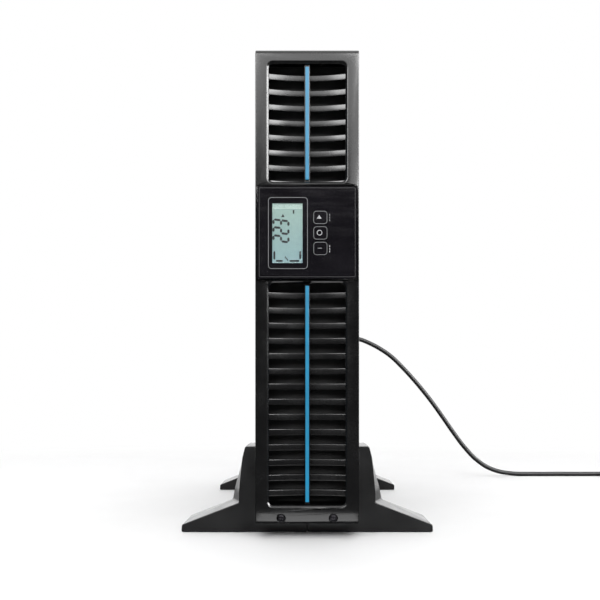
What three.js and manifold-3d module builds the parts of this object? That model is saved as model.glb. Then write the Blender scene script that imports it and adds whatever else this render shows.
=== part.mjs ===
// Rack or tower uninterruptible power supply, standing as a tower on two stands.
// Millimetres, +Z up, the front faces -Y. The origin is on the floor under the middle of the unit.
import * as THREE from "three";
import { mergeVertices } from "three/addons/utils/BufferGeometryUtils.js";
import Module from "manifold-3d";

const wasm = await Module();
wasm.setup();

// ---------------------------------------------------------------- driving dimensions

const GAP = 0.3; // clearance between pieces that touch
const BODY_WIDTH = 89; // two rack units
const BODY_DEPTH = 430;
const BODY_BOTTOM = 12.5;
const BODY_TOP = 419;
const FASCIA_PROUD = 4.4; // the fascia stands in front of the bezel face
const BREAKER_PROUD = 7.4; // the breaker's button stands behind the rear panel
const FACE_Y = FASCIA_PROUD - (FASCIA_PROUD + BODY_DEPTH + BREAKER_PROUD) / 2;
const BACK_Y = FACE_Y + BODY_DEPTH;

const BEZEL_DEPTH = 30;
const BEZEL_WALL = 2.5;
const BEZEL_FRONT_WALL = 3;
const CHIN_TOP = 27; // the bezel's face curves back below this height
const CHIN_DEPTH = 6;
const OPENING_HALF_WIDTH = 32.8;
const OPENING_RADIUS = 4;
const REVEAL = 1.8; // the chamfer round each grille opening
const RECESS_DEPTH = 1.2; // the fascia hangs over a shallow recess in the bezel
const RECESS_AROUND = { side: 0.7, below: 0.4, above: 1.3 };
const GRILLES = {
  upper: { bottom: 306.3, top: 407.6, firstBlade: 400.5, blades: 8, strip: [308.6, 405.3], frame: [301.2, 412] },
  lower: { bottom: 28.6, top: 219.4, firstBlade: 212.1, blades: 14, strip: [31.5, 217.2], frame: [29.4, 223.4] },
};
const BLADE_PITCH = 13.12;
const BLADE_HEIGHT = 5.3;
const BLADE_THICKNESS = 1.6;
const BLADE_END_DEPTH = 3.6; // a blade's front edge behind the bezel face, at its ends
const BLADE_MIDDLE_DEPTH = 9.5;
const BLADE_BACK_DEPTH = 18;
const BLADE_HALF_LENGTH = 36;
const RIB_HALF_WIDTH = 2.3;
const STRIP_HALF_WIDTH = 1.5;

const DISPLAY_Z = 261.8;
const FASCIA_HALF_WIDTH = 42.3;
const FASCIA_HALF_HEIGHT = 39.3;
const FASCIA_THICKNESS = 4;
const DRUM_RADIUS = 36;
const WINDOW = { left: -29.4, right: -4.2, bottom: -25.8, top: 24.5 };
const BUTTON_X = 11.2;
const BUTTON_HEIGHTS = { test_button: 12.7, off_button: -0.5, on_button: -13.7 };
const BUTTON_SIZE = [12.7, 12]; // the hole in the fascia
const BUTTON_CLEARANCE = 0.35;

const SHEET = 1.2; // sheet steel
const CHASSIS_HALF_WIDTH = 43.2;
const CHASSIS_BOTTOM = BODY_BOTTOM + GAP;
const CHASSIS_TOP = BODY_TOP - 1.3;
const CHASSIS_FRONT = FACE_Y + BEZEL_DEPTH + GAP;
const PANEL_HALF_WIDTH = CHASSIS_HALF_WIDTH - SHEET - GAP;
const PANEL_BOTTOM = CHASSIS_BOTTOM + SHEET + GAP;
const PANEL_TOP = CHASSIS_TOP - SHEET - GAP;
const PANEL_THICKNESS = 1.5;
const DIVIDER_Z = 216;
const SCREW_X = 22.4; // the two bezel screws
const SCREW_Z = 17.8;

const BATTERY = [65, 151, 94];
const BATTERY_LEFT = -27;
const BATTERY_FRONT = FACE_Y + 36;
const BATTERY_BOTTOM = 24;
const BATTERY_SPACING = 1;
const BOARD_FACE = 38; // the components' side of the main board

const FAN_Z = 372;
const FAN_SIZE = 80;
const FAN_DEPTH = 25;
const OUTLET_X = 18;
const OUTLET_Z = 279;
const OUTLET_PITCH = 28;
const OUTLET_BLOCK_HALF = [14.5, 43];
const CONTACTS = [[-2, -7], [2, 0], [-2, 7]]; // the outer two in one line, and the earth contact beside it
const INLET_X = 18;
const INLET_Z = 214;
const INLET_HALF = [10.5, 14.2];
const INLET_RECESS = { halfWidth: 8.5, halfHeight: 12.3, floor: BACK_Y - 16 };
const PIN_HALF = [2, 1];
const BREAKER_X = -18;
const SLOT_Z = [134, 188]; // the opening for a network card
const PORTS_Z = [68, 118];
const PORT_HALF_WIDTH = 20;
const NETWORK_SOCKETS = [[8, 82], [8, 102]];
const NETWORK_HALF = [4.2, 6.1];
const JACK_WALL = 2;
const USB = [-9, 76];
const SERIAL = [-9, 102];
const EARTH = [33, 60];

const STAND_DEPTH = 57;
const STAND_FRONTS = { front: FACE_Y + 35, rear: FACE_Y + 360 };
const FOOT_BOTTOM = 0.4;
const PAD = { middleX: 92, length: 26, width: 16, height: 3 };
// A foot's section from its toe up to the top of its upright: first on its two faces, then along its ridge.
const FACE_CONTOUR = [
  [113.1, FOOT_BOTTOM], [112.6, 5.6], [111.9, 6.5], [110.6, 7.1], [61.2, 26.8],
  [61.3, 36.5], [60.2, 49.4], [58.5, 66.5], [55.8, 77.3], [52.4, 77.3], [CHASSIS_HALF_WIDTH + GAP, 77.3]];
const RIDGE_CONTOUR = [
  [114, FOOT_BOTTOM], [113.8, 4], [113, 5.2], [111.6, 6.1], [69.3, 26.4],
  [67.2, 37.6], [64, 49], [58.8, 69.5], [55.8, 77.5], [52.4, 78.6], [CHASSIS_HALF_WIDTH + GAP, 78.6]];

const CORD_RADIUS = 3.25;
const CORD_SIDES = 8;
const CORD_STEPS = 44;
const RELIEF_END = BACK_Y + 60;
const COIL = { x: 485, y: RELIEF_END + 7.75, turn: 39, height: 13.3, topTurn: 9.9 };
const TAIL_LENGTH = 41; // from the coil to the plug's own strain relief
const PLUG = { x: COIL.x + COIL.turn + CORD_RADIUS, tail: COIL.y - TAIL_LENGTH, z: 18.3 };
// The lead leaves the connector, bends to the right, falls to the floor and runs out to the coil.
const CORD_ROUTE = [
  [INLET_X, RELIEF_END + GAP, INLET_Z],
  [INLET_X + 0.4, RELIEF_END + 16, 213.8],
  [INLET_X + 9, RELIEF_END + 36, 213.2],
  [INLET_X + 31, RELIEF_END + 49, 211.8],
  [80, RELIEF_END + 52, 207.2],
  [96.4, RELIEF_END + 52, 200.6],
  [111.9, RELIEF_END + 52, 192.2],
  [127.3, RELIEF_END + 52, 181.4],
  [142.8, RELIEF_END + 52, 166.6],
  [158.3, RELIEF_END + 52, 150],
  [174, RELIEF_END + 52, 131.6],
  [190, RELIEF_END + 51, 111],
  [206, RELIEF_END + 51, 88.6],
  [222, RELIEF_END + 51, 65.6],
  [239, RELIEF_END + 50, 43],
  [258, RELIEF_END + 50, 23.6],
  [281, RELIEF_END + 50, 10],
  [308, RELIEF_END + 50, 4.2],
  [340, RELIEF_END + 50, 3.3],
  [380, RELIEF_END + 50, 3.3],
  [420, RELIEF_END + 50, 3.3],
  [460, RELIEF_END + 50, 3.3],
];

// ---------------------------------------------------------------- materials

function finish(color, roughness, metalness = 0) {
  return new THREE.MeshStandardMaterial({ color, roughness, metalness });
}

const bezelPlastic = finish(0x3a3a3b, 0.42);
const grillePlastic = finish(0x2a2a2b, 0.5);
const bluePlastic = finish(0x2f9fd8, 0.35);
const glossBlack = finish(0x141316, 0.12);
const clearPlastic = finish(0xbfd8d4, 0.05);
const lcdGlass = finish(0xa3c4be, 0.3);
const innerPlastic = finish(0x1c1c1e, 0.6);
const paintedSteel = finish(0x1d1d1f, 0.55, 0.3);
const zincSteel = finish(0xb4b6b6, 0.4, 0.9);
const darkScrew = finish(0x26262a, 0.35, 0.8);
const brass = finish(0xc9a24c, 0.35, 0.9);
const aluminium = finish(0xb9bcc0, 0.35, 0.9);
const copper = finish(0xb06a3c, 0.4, 0.8);
const boardGreen = finish(0x1f5a38, 0.5);
const batteryCase = finish(0x3c4046, 0.6);
const footPlastic = finish(0x2b2b2d, 0.5);
const rubber = finish(0x161616, 0.9);
const cordJacket = finish(0x151515, 0.6);

// ---------------------------------------------------------------- shapes and solids

const box = (x0, x1, y0, y1, z0, z1) =>
  new THREE.BoxGeometry(x1 - x0, y1 - y0, z1 - z0).translate((x0 + x1) / 2, (y0 + y1) / 2, (z0 + z1) / 2);

const rodAlongY = (x, z, radius, y0, y1, sides = 24, backRadius = radius) =>
  new THREE.CylinderGeometry(backRadius, radius, y1 - y0, sides).translate(x, (y0 + y1) / 2, z);

function polygon(points) {
  return new THREE.Shape(points.map(([x, y]) => new THREE.Vector2(x, y)));
}

function roundedRectangle(x0, x1, y0, y1, radius) {
  const shape = new THREE.Shape();
  shape.absarc(x1 - radius, y0 + radius, radius, -Math.PI / 2, 0);
  shape.absarc(x1 - radius, y1 - radius, radius, 0, Math.PI / 2);
  shape.absarc(x0 + radius, y1 - radius, radius, Math.PI / 2, Math.PI);
  shape.absarc(x0 + radius, y0 + radius, radius, Math.PI, 1.5 * Math.PI);
  return shape;
}

// A shape drawn in X and Z, extruded from y0 to y1.
function prismAlongY(shape, y0, y1, curveSegments = 4) {
  const geometry = new THREE.ExtrudeGeometry(shape, { depth: y1 - y0, bevelEnabled: false, curveSegments });
  return geometry.rotateX(Math.PI / 2).translate(0, y1, 0);
}

// A shape drawn in Y and Z, extruded from x0 to x1.
function prismAlongX(shape, x0, x1, curveSegments = 6) {
  const geometry = new THREE.ExtrudeGeometry(shape, { depth: x1 - x0, bevelEnabled: false, curveSegments });
  const turn = new THREE.Matrix4().makeBasis(
    new THREE.Vector3(0, 1, 0), new THREE.Vector3(0, 0, 1), new THREE.Vector3(1, 0, 0));
  return geometry.applyMatrix4(turn).translate(x0, 0, 0);
}

// A shape drawn in X and Y, extruded from z0 to z1.
function prismAlongZ(shape, z0, z1, curveSegments = 8) {
  const geometry = new THREE.ExtrudeGeometry(shape, { depth: z1 - z0, bevelEnabled: false, curveSegments });
  return geometry.translate(0, 0, z0);
}

// A profile of radius and Y, turned about the Y axis.
function turned(profile, sides = 48) {
  return new THREE.LatheGeometry(profile.map(([radius, y]) => new THREE.Vector2(radius, y)), sides);
}

function solid(geometry) {
  const bare = geometry.clone();
  bare.deleteAttribute("normal");
  bare.deleteAttribute("uv");
  const merged = mergeVertices(bare);
  const vertProperties = new Float32Array(merged.attributes.position.array);
  const triVerts = new Uint32Array(merged.index.array);
  return new wasm.Manifold(new wasm.Mesh({ numProp: 3, vertProperties, triVerts }));
}

function geometryOf(made) {
  const { vertProperties, triVerts } = made.getMesh();
  const geometry = new THREE.BufferGeometry();
  geometry.setAttribute("position", new THREE.BufferAttribute(vertProperties, 3));
  geometry.setIndex(new THREE.BufferAttribute(triVerts, 1));
  geometry.computeVertexNormals();
  return geometry;
}

// A closed skin through sections of equal count, each at its own Y; the first and last are capped.
function loft(sections, depths) {
  const count = sections[0].length;
  const positions = sections.flatMap((section, i) => section.flatMap(([x, z]) => [x, depths[i], z]));
  const index = [];
  for (let s = 0; s + 1 < sections.length; s += 1) {
    for (let i = 0; i < count; i += 1) {
      const near = [s * count + i, s * count + ((i + 1) % count)];
      const far = near.map((vertex) => vertex + count);
      index.push(near[0], far[1], near[1], near[0], far[0], far[1]);
    }
  }
  const flat = (section) => section.map(([x, z]) => new THREE.Vector2(x, z));
  const last = (sections.length - 1) * count;
  THREE.ShapeUtils.triangulateShape(flat(sections[0]), []).forEach(([a, b, c]) => index.push(a, b, c));
  THREE.ShapeUtils.triangulateShape(flat(sections.at(-1)), []).forEach(([a, b, c]) =>
    index.push(last + a, last + c, last + b));
  const geometry = new THREE.BufferGeometry();
  geometry.setAttribute("position", new THREE.Float32BufferAttribute(positions, 3));
  geometry.setIndex(index);
  return geometry;
}

const join = (...geometries) => geometryOf(geometries.map(solid).reduce((all, one) => all.add(one)));

const cut = (geometry, ...tools) =>
  geometryOf(tools.map(solid).reduce((rest, tool) => rest.subtract(tool), solid(geometry)));

function piece(name, geometry, material) {
  const mesh = new THREE.Mesh(geometry, material);
  mesh.name = name;
  return mesh;
}

function groupOf(...pieces) {
  const group = new THREE.Group();
  group.add(...pieces);
  return group;
}

// ---------------------------------------------------------------- bezel and grilles

function bezelSide() {
  const side = new THREE.Shape();
  side.moveTo(FACE_Y + BEZEL_DEPTH, BODY_BOTTOM);
  side.lineTo(FACE_Y + BEZEL_DEPTH, BODY_TOP);
  side.lineTo(FACE_Y + 1.6, BODY_TOP);
  side.lineTo(FACE_Y, BODY_TOP - 2.6);
  side.lineTo(FACE_Y, CHIN_TOP);
  side.quadraticCurveTo(FACE_Y, BODY_BOTTOM + 1.5, FACE_Y + CHIN_DEPTH, BODY_BOTTOM);
  return side;
}

function bezelCavity() {
  const inside = BODY_WIDTH / 2 - BEZEL_WALL;
  const side = polygon([
    [FACE_Y + BEZEL_FRONT_WALL, 30],
    [FACE_Y + 6, 20],
    [FACE_Y + 14, BODY_BOTTOM + BEZEL_WALL],
    [FACE_Y + BEZEL_DEPTH + 1, BODY_BOTTOM + BEZEL_WALL],
    [FACE_Y + BEZEL_DEPTH + 1, BODY_TOP - BEZEL_WALL],
    [FACE_Y + BEZEL_FRONT_WALL, BODY_TOP - BEZEL_WALL],
  ]);
  return prismAlongX(side, -inside, inside);
}

// The cutter for a grille opening: straight through the wall, and wider towards the bezel's face.
function grilleOpening({ bottom, top }) {
  const outline = (grow) =>
    roundedRectangle(
      -OPENING_HALF_WIDTH - grow, OPENING_HALF_WIDTH + grow, bottom - grow, top + grow, OPENING_RADIUS + grow)
      .getPoints(4).slice(0, -1).map(({ x, y }) => [x, y]);
  const sections = [REVEAL + 1, 0, 0].map(outline);
  return loft(sections, [FACE_Y - 1, FACE_Y + REVEAL, FACE_Y + BEZEL_FRONT_WALL + 1]);
}

function fasciaRecess() {
  const { side, below, above } = RECESS_AROUND;
  const halfWidth = FASCIA_HALF_WIDTH + side;
  const z = [DISPLAY_Z - FASCIA_HALF_HEIGHT - below, DISPLAY_Z + FASCIA_HALF_HEIGHT + above];
  return box(-halfWidth, halfWidth, FACE_Y - 1, FACE_Y + RECESS_DEPTH, ...z);
}

// The notch below the fascia that a screwdriver's blade goes into.
function pryNotch() {
  const z = DISPLAY_Z - FASCIA_HALF_HEIGHT;
  const outline = polygon([[-2.4, z - 3], [2.4, z - 3], [3.8, z + 1], [-3.8, z + 1]]);
  return prismAlongY(outline, FACE_Y - 1, FACE_Y + 2);
}

function screwWell(x) {
  const head = rodAlongY(x, SCREW_Z, 3.8, FACE_Y - 1, FACE_Y + 6);
  const shank = rodAlongY(x, SCREW_Z, 2, FACE_Y + 5, FACE_Y + 20);
  return join(head, shank);
}

function frontBezel() {
  const shell = prismAlongX(bezelSide(), -BODY_WIDTH / 2, BODY_WIDTH / 2);
  const drumHole = rodAlongY(0, DISPLAY_Z, DRUM_RADIUS + GAP, FACE_Y - 1, FACE_Y + BEZEL_FRONT_WALL + 1, 48);
  const openings = Object.values(GRILLES).map(grilleOpening);
  const wells = [-SCREW_X, SCREW_X].map(screwWell);
  const cutters = [bezelCavity(), fasciaRecess(), pryNotch(), drumHole, ...openings, ...wells];
  return piece("front_bezel", cut(shell, ...cutters), bezelPlastic);
}

// The plan of a blade between its curved front edge, moved back by inset, and a straight or curved back.
function bladePlan(frontInset, back) {
  const plan = new THREE.Shape();
  const end = FACE_Y + BLADE_END_DEPTH;
  const control = FACE_Y + 2 * BLADE_MIDDLE_DEPTH - BLADE_END_DEPTH;
  plan.moveTo(-BLADE_HALF_LENGTH, end + frontInset);
  plan.quadraticCurveTo(0, control + frontInset, BLADE_HALF_LENGTH, end + frontInset);
  if (back === "straight") {
    plan.lineTo(BLADE_HALF_LENGTH, FACE_Y + BLADE_BACK_DEPTH);
    plan.lineTo(-BLADE_HALF_LENGTH, FACE_Y + BLADE_BACK_DEPTH);
  } else {
    plan.lineTo(BLADE_HALF_LENGTH, end + BLADE_THICKNESS);
    plan.quadraticCurveTo(0, control + BLADE_THICKNESS, -BLADE_HALF_LENGTH, end + BLADE_THICKNESS);
  }
  return plan;
}

function grilleBlade(top) {
  const shelf = prismAlongZ(bladePlan(0.2, "straight"), top - BLADE_THICKNESS, top);
  const lip = prismAlongZ(bladePlan(0, "curved"), top - BLADE_HEIGHT, top);
  return join(shelf, lip);
}

function grille(name, { firstBlade, blades, frame: [bottom, top] }) {
  const front = FACE_Y + BEZEL_FRONT_WALL + GAP;
  const back = FACE_Y + BLADE_BACK_DEPTH;
  const rails = [-1, 1].map((side) => {
    const near = side * (BLADE_HALF_LENGTH - 1.7);
    const far = side * (BLADE_HALF_LENGTH + 1.6);
    return box(Math.min(near, far), Math.max(near, far), front, back, bottom, top);
  });
  const rib = box(-RIB_HALF_WIDTH, RIB_HALF_WIDTH, front + 0.5, back, bottom, top);
  const bladeTops = Array.from({ length: blades }, (_, i) => firstBlade - i * BLADE_PITCH);
  return piece(name, join(...rails, rib, ...bladeTops.map(grilleBlade)), grillePlastic);
}

function accentStrip(name, { strip: [bottom, top] }) {
  const shape = roundedRectangle(-STRIP_HALF_WIDTH, STRIP_HALF_WIDTH, bottom, top, 0.4);
  return piece(name, prismAlongY(shape, FACE_Y + 1.9, FACE_Y + 3.5, 2), bluePlastic);
}

function bezelScrew(name, x) {
  const head = rodAlongY(x, SCREW_Z, 3.4, FACE_Y + 3.4, FACE_Y + 5.7, 16);
  const shank = rodAlongY(x, SCREW_Z, 1.6, FACE_Y + 5.5, FACE_Y + 38, 12);
  const socket = rodAlongY(x, SCREW_Z, 1.5, FACE_Y + 3, FACE_Y + 4.6, 6);
  return piece(name, cut(join(head, shank), socket), darkScrew);
}

// ---------------------------------------------------------------- display unit, drawn about its own centre

function fascia() {
  const { left, right, bottom, top } = WINDOW;
  const outline = roundedRectangle(
    -FASCIA_HALF_WIDTH, FASCIA_HALF_WIDTH, -FASCIA_HALF_HEIGHT, FASCIA_HALF_HEIGHT, 1.5);
  const plate = prismAlongY(outline, -FASCIA_PROUD, FASCIA_THICKNESS - FASCIA_PROUD, 3);
  const windowHole = box(left - GAP, right + GAP, -FASCIA_PROUD - 1, 0, bottom - GAP, top + GAP);
  const cellPocket = box(left - 3.5, right + 3.5, 1.4 - FASCIA_PROUD, 0, bottom - 3.5, top + 3.5);
  const buttonHoles = Object.values(BUTTON_HEIGHTS).map((z) => buttonOutline(z, 0, -FASCIA_PROUD - 1, 0));
  return piece("display_fascia", cut(plate, windowHole, cellPocket, ...buttonHoles), glossBlack);
}

function buttonOutline(z, clearance, y0, y1) {
  const [halfWidth, halfHeight] = BUTTON_SIZE.map((size) => size / 2 - clearance);
  const outline = roundedRectangle(
    BUTTON_X - halfWidth, BUTTON_X + halfWidth, z - halfHeight, z + halfHeight, 3 - clearance);
  return prismAlongY(outline, y0, y1, 3);
}

function button(name, z) {
  const cap = buttonOutline(z, BUTTON_CLEARANCE, -FASCIA_PROUD, -1.4);
  const stem = rodAlongY(BUTTON_X, z, 1.8, -2, 4, 12);
  return piece(name, join(cap, stem), glossBlack);
}

function displayWindow() {
  const { left, right, bottom, top } = WINDOW;
  const cover = box(left, right, 0.1 - FASCIA_PROUD, 1.2 - FASCIA_PROUD, bottom, top);
  return piece("display_window", cover, clearPlastic);
}

function lcdModule() {
  const { left, right, bottom, top } = WINDOW;
  const cell = box(left - 3.2, right + 3.2, 1.7 - FASCIA_PROUD, -0.6, bottom - 3.2, top + 3.2);
  return piece("lcd_module", cell, lcdGlass);
}

// A cup, open to the front, whose flange turns behind the bezel's front wall.
function displayDrum() {
  const flangeFront = BEZEL_FRONT_WALL + GAP;
  return piece("display_drum", turned([
    [0, 11.8],
    [DRUM_RADIUS - 2.2, 11.8],
    [DRUM_RADIUS - 2.2, -0.1],
    [DRUM_RADIUS, -0.1],
    [DRUM_RADIUS, flangeFront],
    [DRUM_RADIUS + 2, flangeFront],
    [DRUM_RADIUS + 2, flangeFront + 2],
    [DRUM_RADIUS, flangeFront + 2],
    [DRUM_RADIUS, 14],
    [0, 14],
  ], 36), innerPlastic);
}

function displayBoard() {
  const board = box(-19, 19, 8, 9.6, -27, 27);
  const switches = Object.values(BUTTON_HEIGHTS).map((z) =>
    box(BUTTON_X - 3, BUTTON_X + 3, 5, 8.1, z - 3, z + 3));
  return piece("display_board", join(board, ...switches), boardGreen);
}

function displayUnit() {
  const buttons = Object.entries(BUTTON_HEIGHTS).map(([name, z]) => button(name, z));
  const unit = groupOf(fascia(), displayWindow(), lcdModule(), displayDrum(), displayBoard(), ...buttons);
  unit.position.set(0, FACE_Y, DISPLAY_Z);
  return unit;
}

// ---------------------------------------------------------------- chassis

// A channel. Its floor is the side that the unit lies on in a rack, so its walls are now top and bottom.
function chassisTray() {
  const section = polygon([
    [GAP - CHASSIS_HALF_WIDTH + SHEET, CHASSIS_BOTTOM],
    [CHASSIS_HALF_WIDTH, CHASSIS_BOTTOM],
    [CHASSIS_HALF_WIDTH, CHASSIS_TOP],
    [GAP - CHASSIS_HALF_WIDTH + SHEET, CHASSIS_TOP],
    [GAP - CHASSIS_HALF_WIDTH + SHEET, CHASSIS_TOP - SHEET],
    [CHASSIS_HALF_WIDTH - SHEET, CHASSIS_TOP - SHEET],
    [CHASSIS_HALF_WIDTH - SHEET, CHASSIS_BOTTOM + SHEET],
    [GAP - CHASSIS_HALF_WIDTH + SHEET, CHASSIS_BOTTOM + SHEET],
  ]);
  const channel = prismAlongY(section, CHASSIS_FRONT, BACK_Y);
  const batteryLedge = box(
    -25, 35, FACE_Y + 40, FACE_Y + 330, CHASSIS_BOTTOM + SHEET - 0.2, BATTERY_BOTTOM - 2);
  const vents = Array.from({ length: 12 }, (_, i) => {
    const y = BACK_Y - 150 + i * 9;
    return box(-25, 25, y, y + 4, CHASSIS_TOP - 3, CHASSIS_TOP + 1);
  });
  return piece("chassis_tray", cut(join(channel, batteryLedge), ...vents), paintedSteel);
}

function chassisCover() {
  const inner = SHEET - CHASSIS_HALF_WIDTH;
  const plate = box(-CHASSIS_HALF_WIDTH, inner, CHASSIS_FRONT, BACK_Y, CHASSIS_BOTTOM, CHASSIS_TOP);
  const lips = [PANEL_BOTTOM, PANEL_TOP - SHEET].map((z) =>
    box(inner - 0.2, inner + 10, CHASSIS_FRONT + 4, BACK_Y - 4, z, z + SHEET));
  return piece("chassis_cover", join(plate, ...lips), paintedSteel);
}

function frontPlate() {
  const plate = box(
    -PANEL_HALF_WIDTH, PANEL_HALF_WIDTH,
    CHASSIS_FRONT, CHASSIS_FRONT + PANEL_THICKNESS,
    PANEL_BOTTOM, PANEL_TOP);
  const through = [CHASSIS_FRONT - 1, CHASSIS_FRONT + PANEL_THICKNESS + 1];
  const batteryOpening = box(-40, 40, ...through, BATTERY_BOTTOM - 2, DIVIDER_Z - 1);
  const vents = Array.from({ length: 9 }, (_, i) => {
    const z = 310 + i * 10;
    return box(-30, 30, ...through, z, z + 5);
  });
  const screwHoles = [-SCREW_X, SCREW_X].map((x) => rodAlongY(x, SCREW_Z, 2, ...through, 12));
  return piece("front_plate", cut(plate, batteryOpening, ...vents, ...screwHoles), paintedSteel);
}

function batteryDoor() {
  const front = CHASSIS_FRONT - GAP - PANEL_THICKNESS;
  const plate = box(-41.4, 41.4, front, front + PANEL_THICKNESS, BATTERY_BOTTOM - 3.2, DIVIDER_Z + 0.2);
  const fingerHole = box(-14, 14, front - 1, front + PANEL_THICKNESS + 1, 112, 124);
  return piece("battery_door", cut(plate, fingerHole), paintedSteel);
}

// The sheet that parts the batteries from the electronics.
function divider() {
  const sheet = box(-41.5, 41.5, CHASSIS_FRONT + 4, BACK_Y - 36, DIVIDER_Z, DIVIDER_Z + SHEET);
  return piece("divider", sheet, zincSteel);
}

function batteryTray() {
  const [width, length, height] = BATTERY;
  const right = BATTERY_LEFT + width + 0.4;
  const bottom = BATTERY_BOTTOM - 0.4;
  const top = BATTERY_BOTTOM + 2 * height + BATTERY_SPACING + 0.4;
  const section = polygon([
    [10, bottom - SHEET],
    [right + SHEET, bottom - SHEET],
    [right + SHEET, top + SHEET],
    [10, top + SHEET],
    [10, top],
    [right, top],
    [right, bottom],
    [10, bottom],
  ]);
  const back = BATTERY_FRONT + 2 * length + BATTERY_SPACING + 0.4;
  const channel = prismAlongY(section, BATTERY_FRONT - 2, back + SHEET);
  const stop = box(-20, right + 0.2, back, back + SHEET, bottom - 0.2, top + 0.2);
  return piece("battery_tray", join(channel, stop), zincSteel);
}

function batteryGeometry() {
  const [width, length, height] = BATTERY;
  const lidLine = 6;
  const caseBox = box(lidLine, width, 0, length, 0, height);
  const lid = box(0, lidLine + 0.1, 0.8, length - 0.8, 0.8, height - 0.8);
  return join(caseBox, lid);
}

function batteries() {
  const [, length, height] = BATTERY;
  const geometry = batteryGeometry();
  return [0, 1, 2, 3].map((i) => {
    const battery = piece(`battery_${i + 1}`, geometry, batteryCase);
    const row = Math.floor(i / 2);
    const column = i % 2;
    battery.position.set(
      BATTERY_LEFT,
      BATTERY_FRONT + column * (length + BATTERY_SPACING),
      BATTERY_BOTTOM + row * (height + BATTERY_SPACING));
    return battery;
  });
}

// ---------------------------------------------------------------- electronics

function mainBoard() {
  const board = box(BOARD_FACE, BOARD_FACE + 1.6, FACE_Y + 60, FACE_Y + 370, DIVIDER_Z + 6, 410);
  return piece("main_board", board, boardGreen);
}

// A comb of fins along Y, with its base on the side away from the middle of the board.
function heatsink(name, baseZ, finsUp) {
  const right = BOARD_FACE - GAP;
  const left = right - 56;
  const finLength = 30 * finsUp;
  const base = box(left, right, FACE_Y + 150, FACE_Y + 300, Math.min(baseZ, baseZ - 4 * finsUp),
    Math.max(baseZ, baseZ - 4 * finsUp));
  const fins = Array.from({ length: 8 }, (_, i) => {
    const x = left + i * 7.7;
    const ends = [baseZ - 0.2 * finsUp, baseZ + finLength];
    return box(x, x + 2.1, FACE_Y + 150, FACE_Y + 300, Math.min(...ends), Math.max(...ends));
  });
  return piece(name, join(base, ...fins), aluminium);
}

function capacitor(name, y, z) {
  const can = new THREE.CylinderGeometry(17.5, 17.5, 50, 24);
  const mesh = piece(name, can, innerPlastic);
  mesh.rotation.z = Math.PI / 2;
  mesh.position.set(BOARD_FACE - GAP - 25, y, z);
  return mesh;
}

function inductor() {
  const tube = 9;
  const corners = 8;
  const ring = Array.from({ length: corners + 1 }, (_, i) => {
    const angle = (i / corners) * 2 * Math.PI;
    return [20 + tube * Math.cos(angle), tube * Math.sin(angle)];
  });
  const mesh = piece("inductor", turned(ring, 20), copper);
  mesh.rotation.z = Math.PI / 2;
  mesh.position.set(BOARD_FACE - GAP - tube, FACE_Y + 195, 255);
  return mesh;
}

function transformer() {
  const core = box(-14, BOARD_FACE - GAP, FACE_Y + 245, FACE_Y + 305, 232, 284);
  const winding = box(-19, BOARD_FACE - 4, FACE_Y + 255, FACE_Y + 295, 226, 290);
  return piece("transformer", join(core, winding), copper);
}

// ---------------------------------------------------------------- fan, drawn about its own centre

function fanFrame() {
  const half = FAN_SIZE / 2;
  const outline = roundedRectangle(-half, half, -half, half, 4);
  const shell = cut(prismAlongY(outline, 0, FAN_DEPTH), rodAlongY(0, 0, half - 2, -1, FAN_DEPTH + 1, 40));
  const motorSeat = rodAlongY(0, 0, 16, 0, 3);
  const arms = [0, 1].map((i) =>
    box(-1.5, 1.5, 0.2, 2.8, 1 - half, half - 1).rotateY(((1 + 2 * i) * Math.PI) / 4));
  const axleHole = rodAlongY(0, 0, 2, -1, 4, 16);
  return piece("fan_frame", cut(join(shell, motorSeat, ...arms), axleHole), innerPlastic);
}

function fanRotor() {
  const hub = rodAlongY(0, 0, 17, 3.6, 23);
  const axle = rodAlongY(0, 0, 1.5, 0.8, 5, 12);
  const blades = Array.from({ length: 7 }, (_, i) =>
    box(16, 36.8, -8.5, 8.5, -0.8, 0.8).rotateX(0.9).translate(0, 13.5, 0).rotateY((i / 7) * 2 * Math.PI));
  return piece("fan_rotor", join(hub, axle, ...blades), innerPlastic);
}

function fanGuard() {
  const wire = 0.8;
  const rings = [9, 18, 27, 36].map((radius) =>
    new THREE.TorusGeometry(radius, wire, 5, 28).rotateX(Math.PI / 2));
  const arms = [0, 1].map((i) => {
    const arm = new THREE.CylinderGeometry(wire, wire, 100, 5);
    return arm.rotateX(Math.PI / 2).rotateY(((1 + 2 * i) * Math.PI) / 4).translate(0, -0.4, 0);
  });
  const mesh = piece("fan_guard", join(...rings, ...arms), zincSteel);
  mesh.position.y = FAN_DEPTH + GAP + PANEL_THICKNESS + GAP + 2 * wire;
  return mesh;
}

function fan() {
  const unit = groupOf(fanFrame(), fanRotor(), fanGuard());
  unit.position.set(0, BACK_Y - PANEL_THICKNESS - GAP - FAN_DEPTH, FAN_Z);
  return unit;
}

// ---------------------------------------------------------------- rear panel and its fittings

const panelOpening = (x0, x1, z0, z1) =>
  box(x0 - GAP, x1 + GAP, BACK_Y - PANEL_THICKNESS - 1, BACK_Y + 1, z0 - GAP, z1 + GAP);

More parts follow.
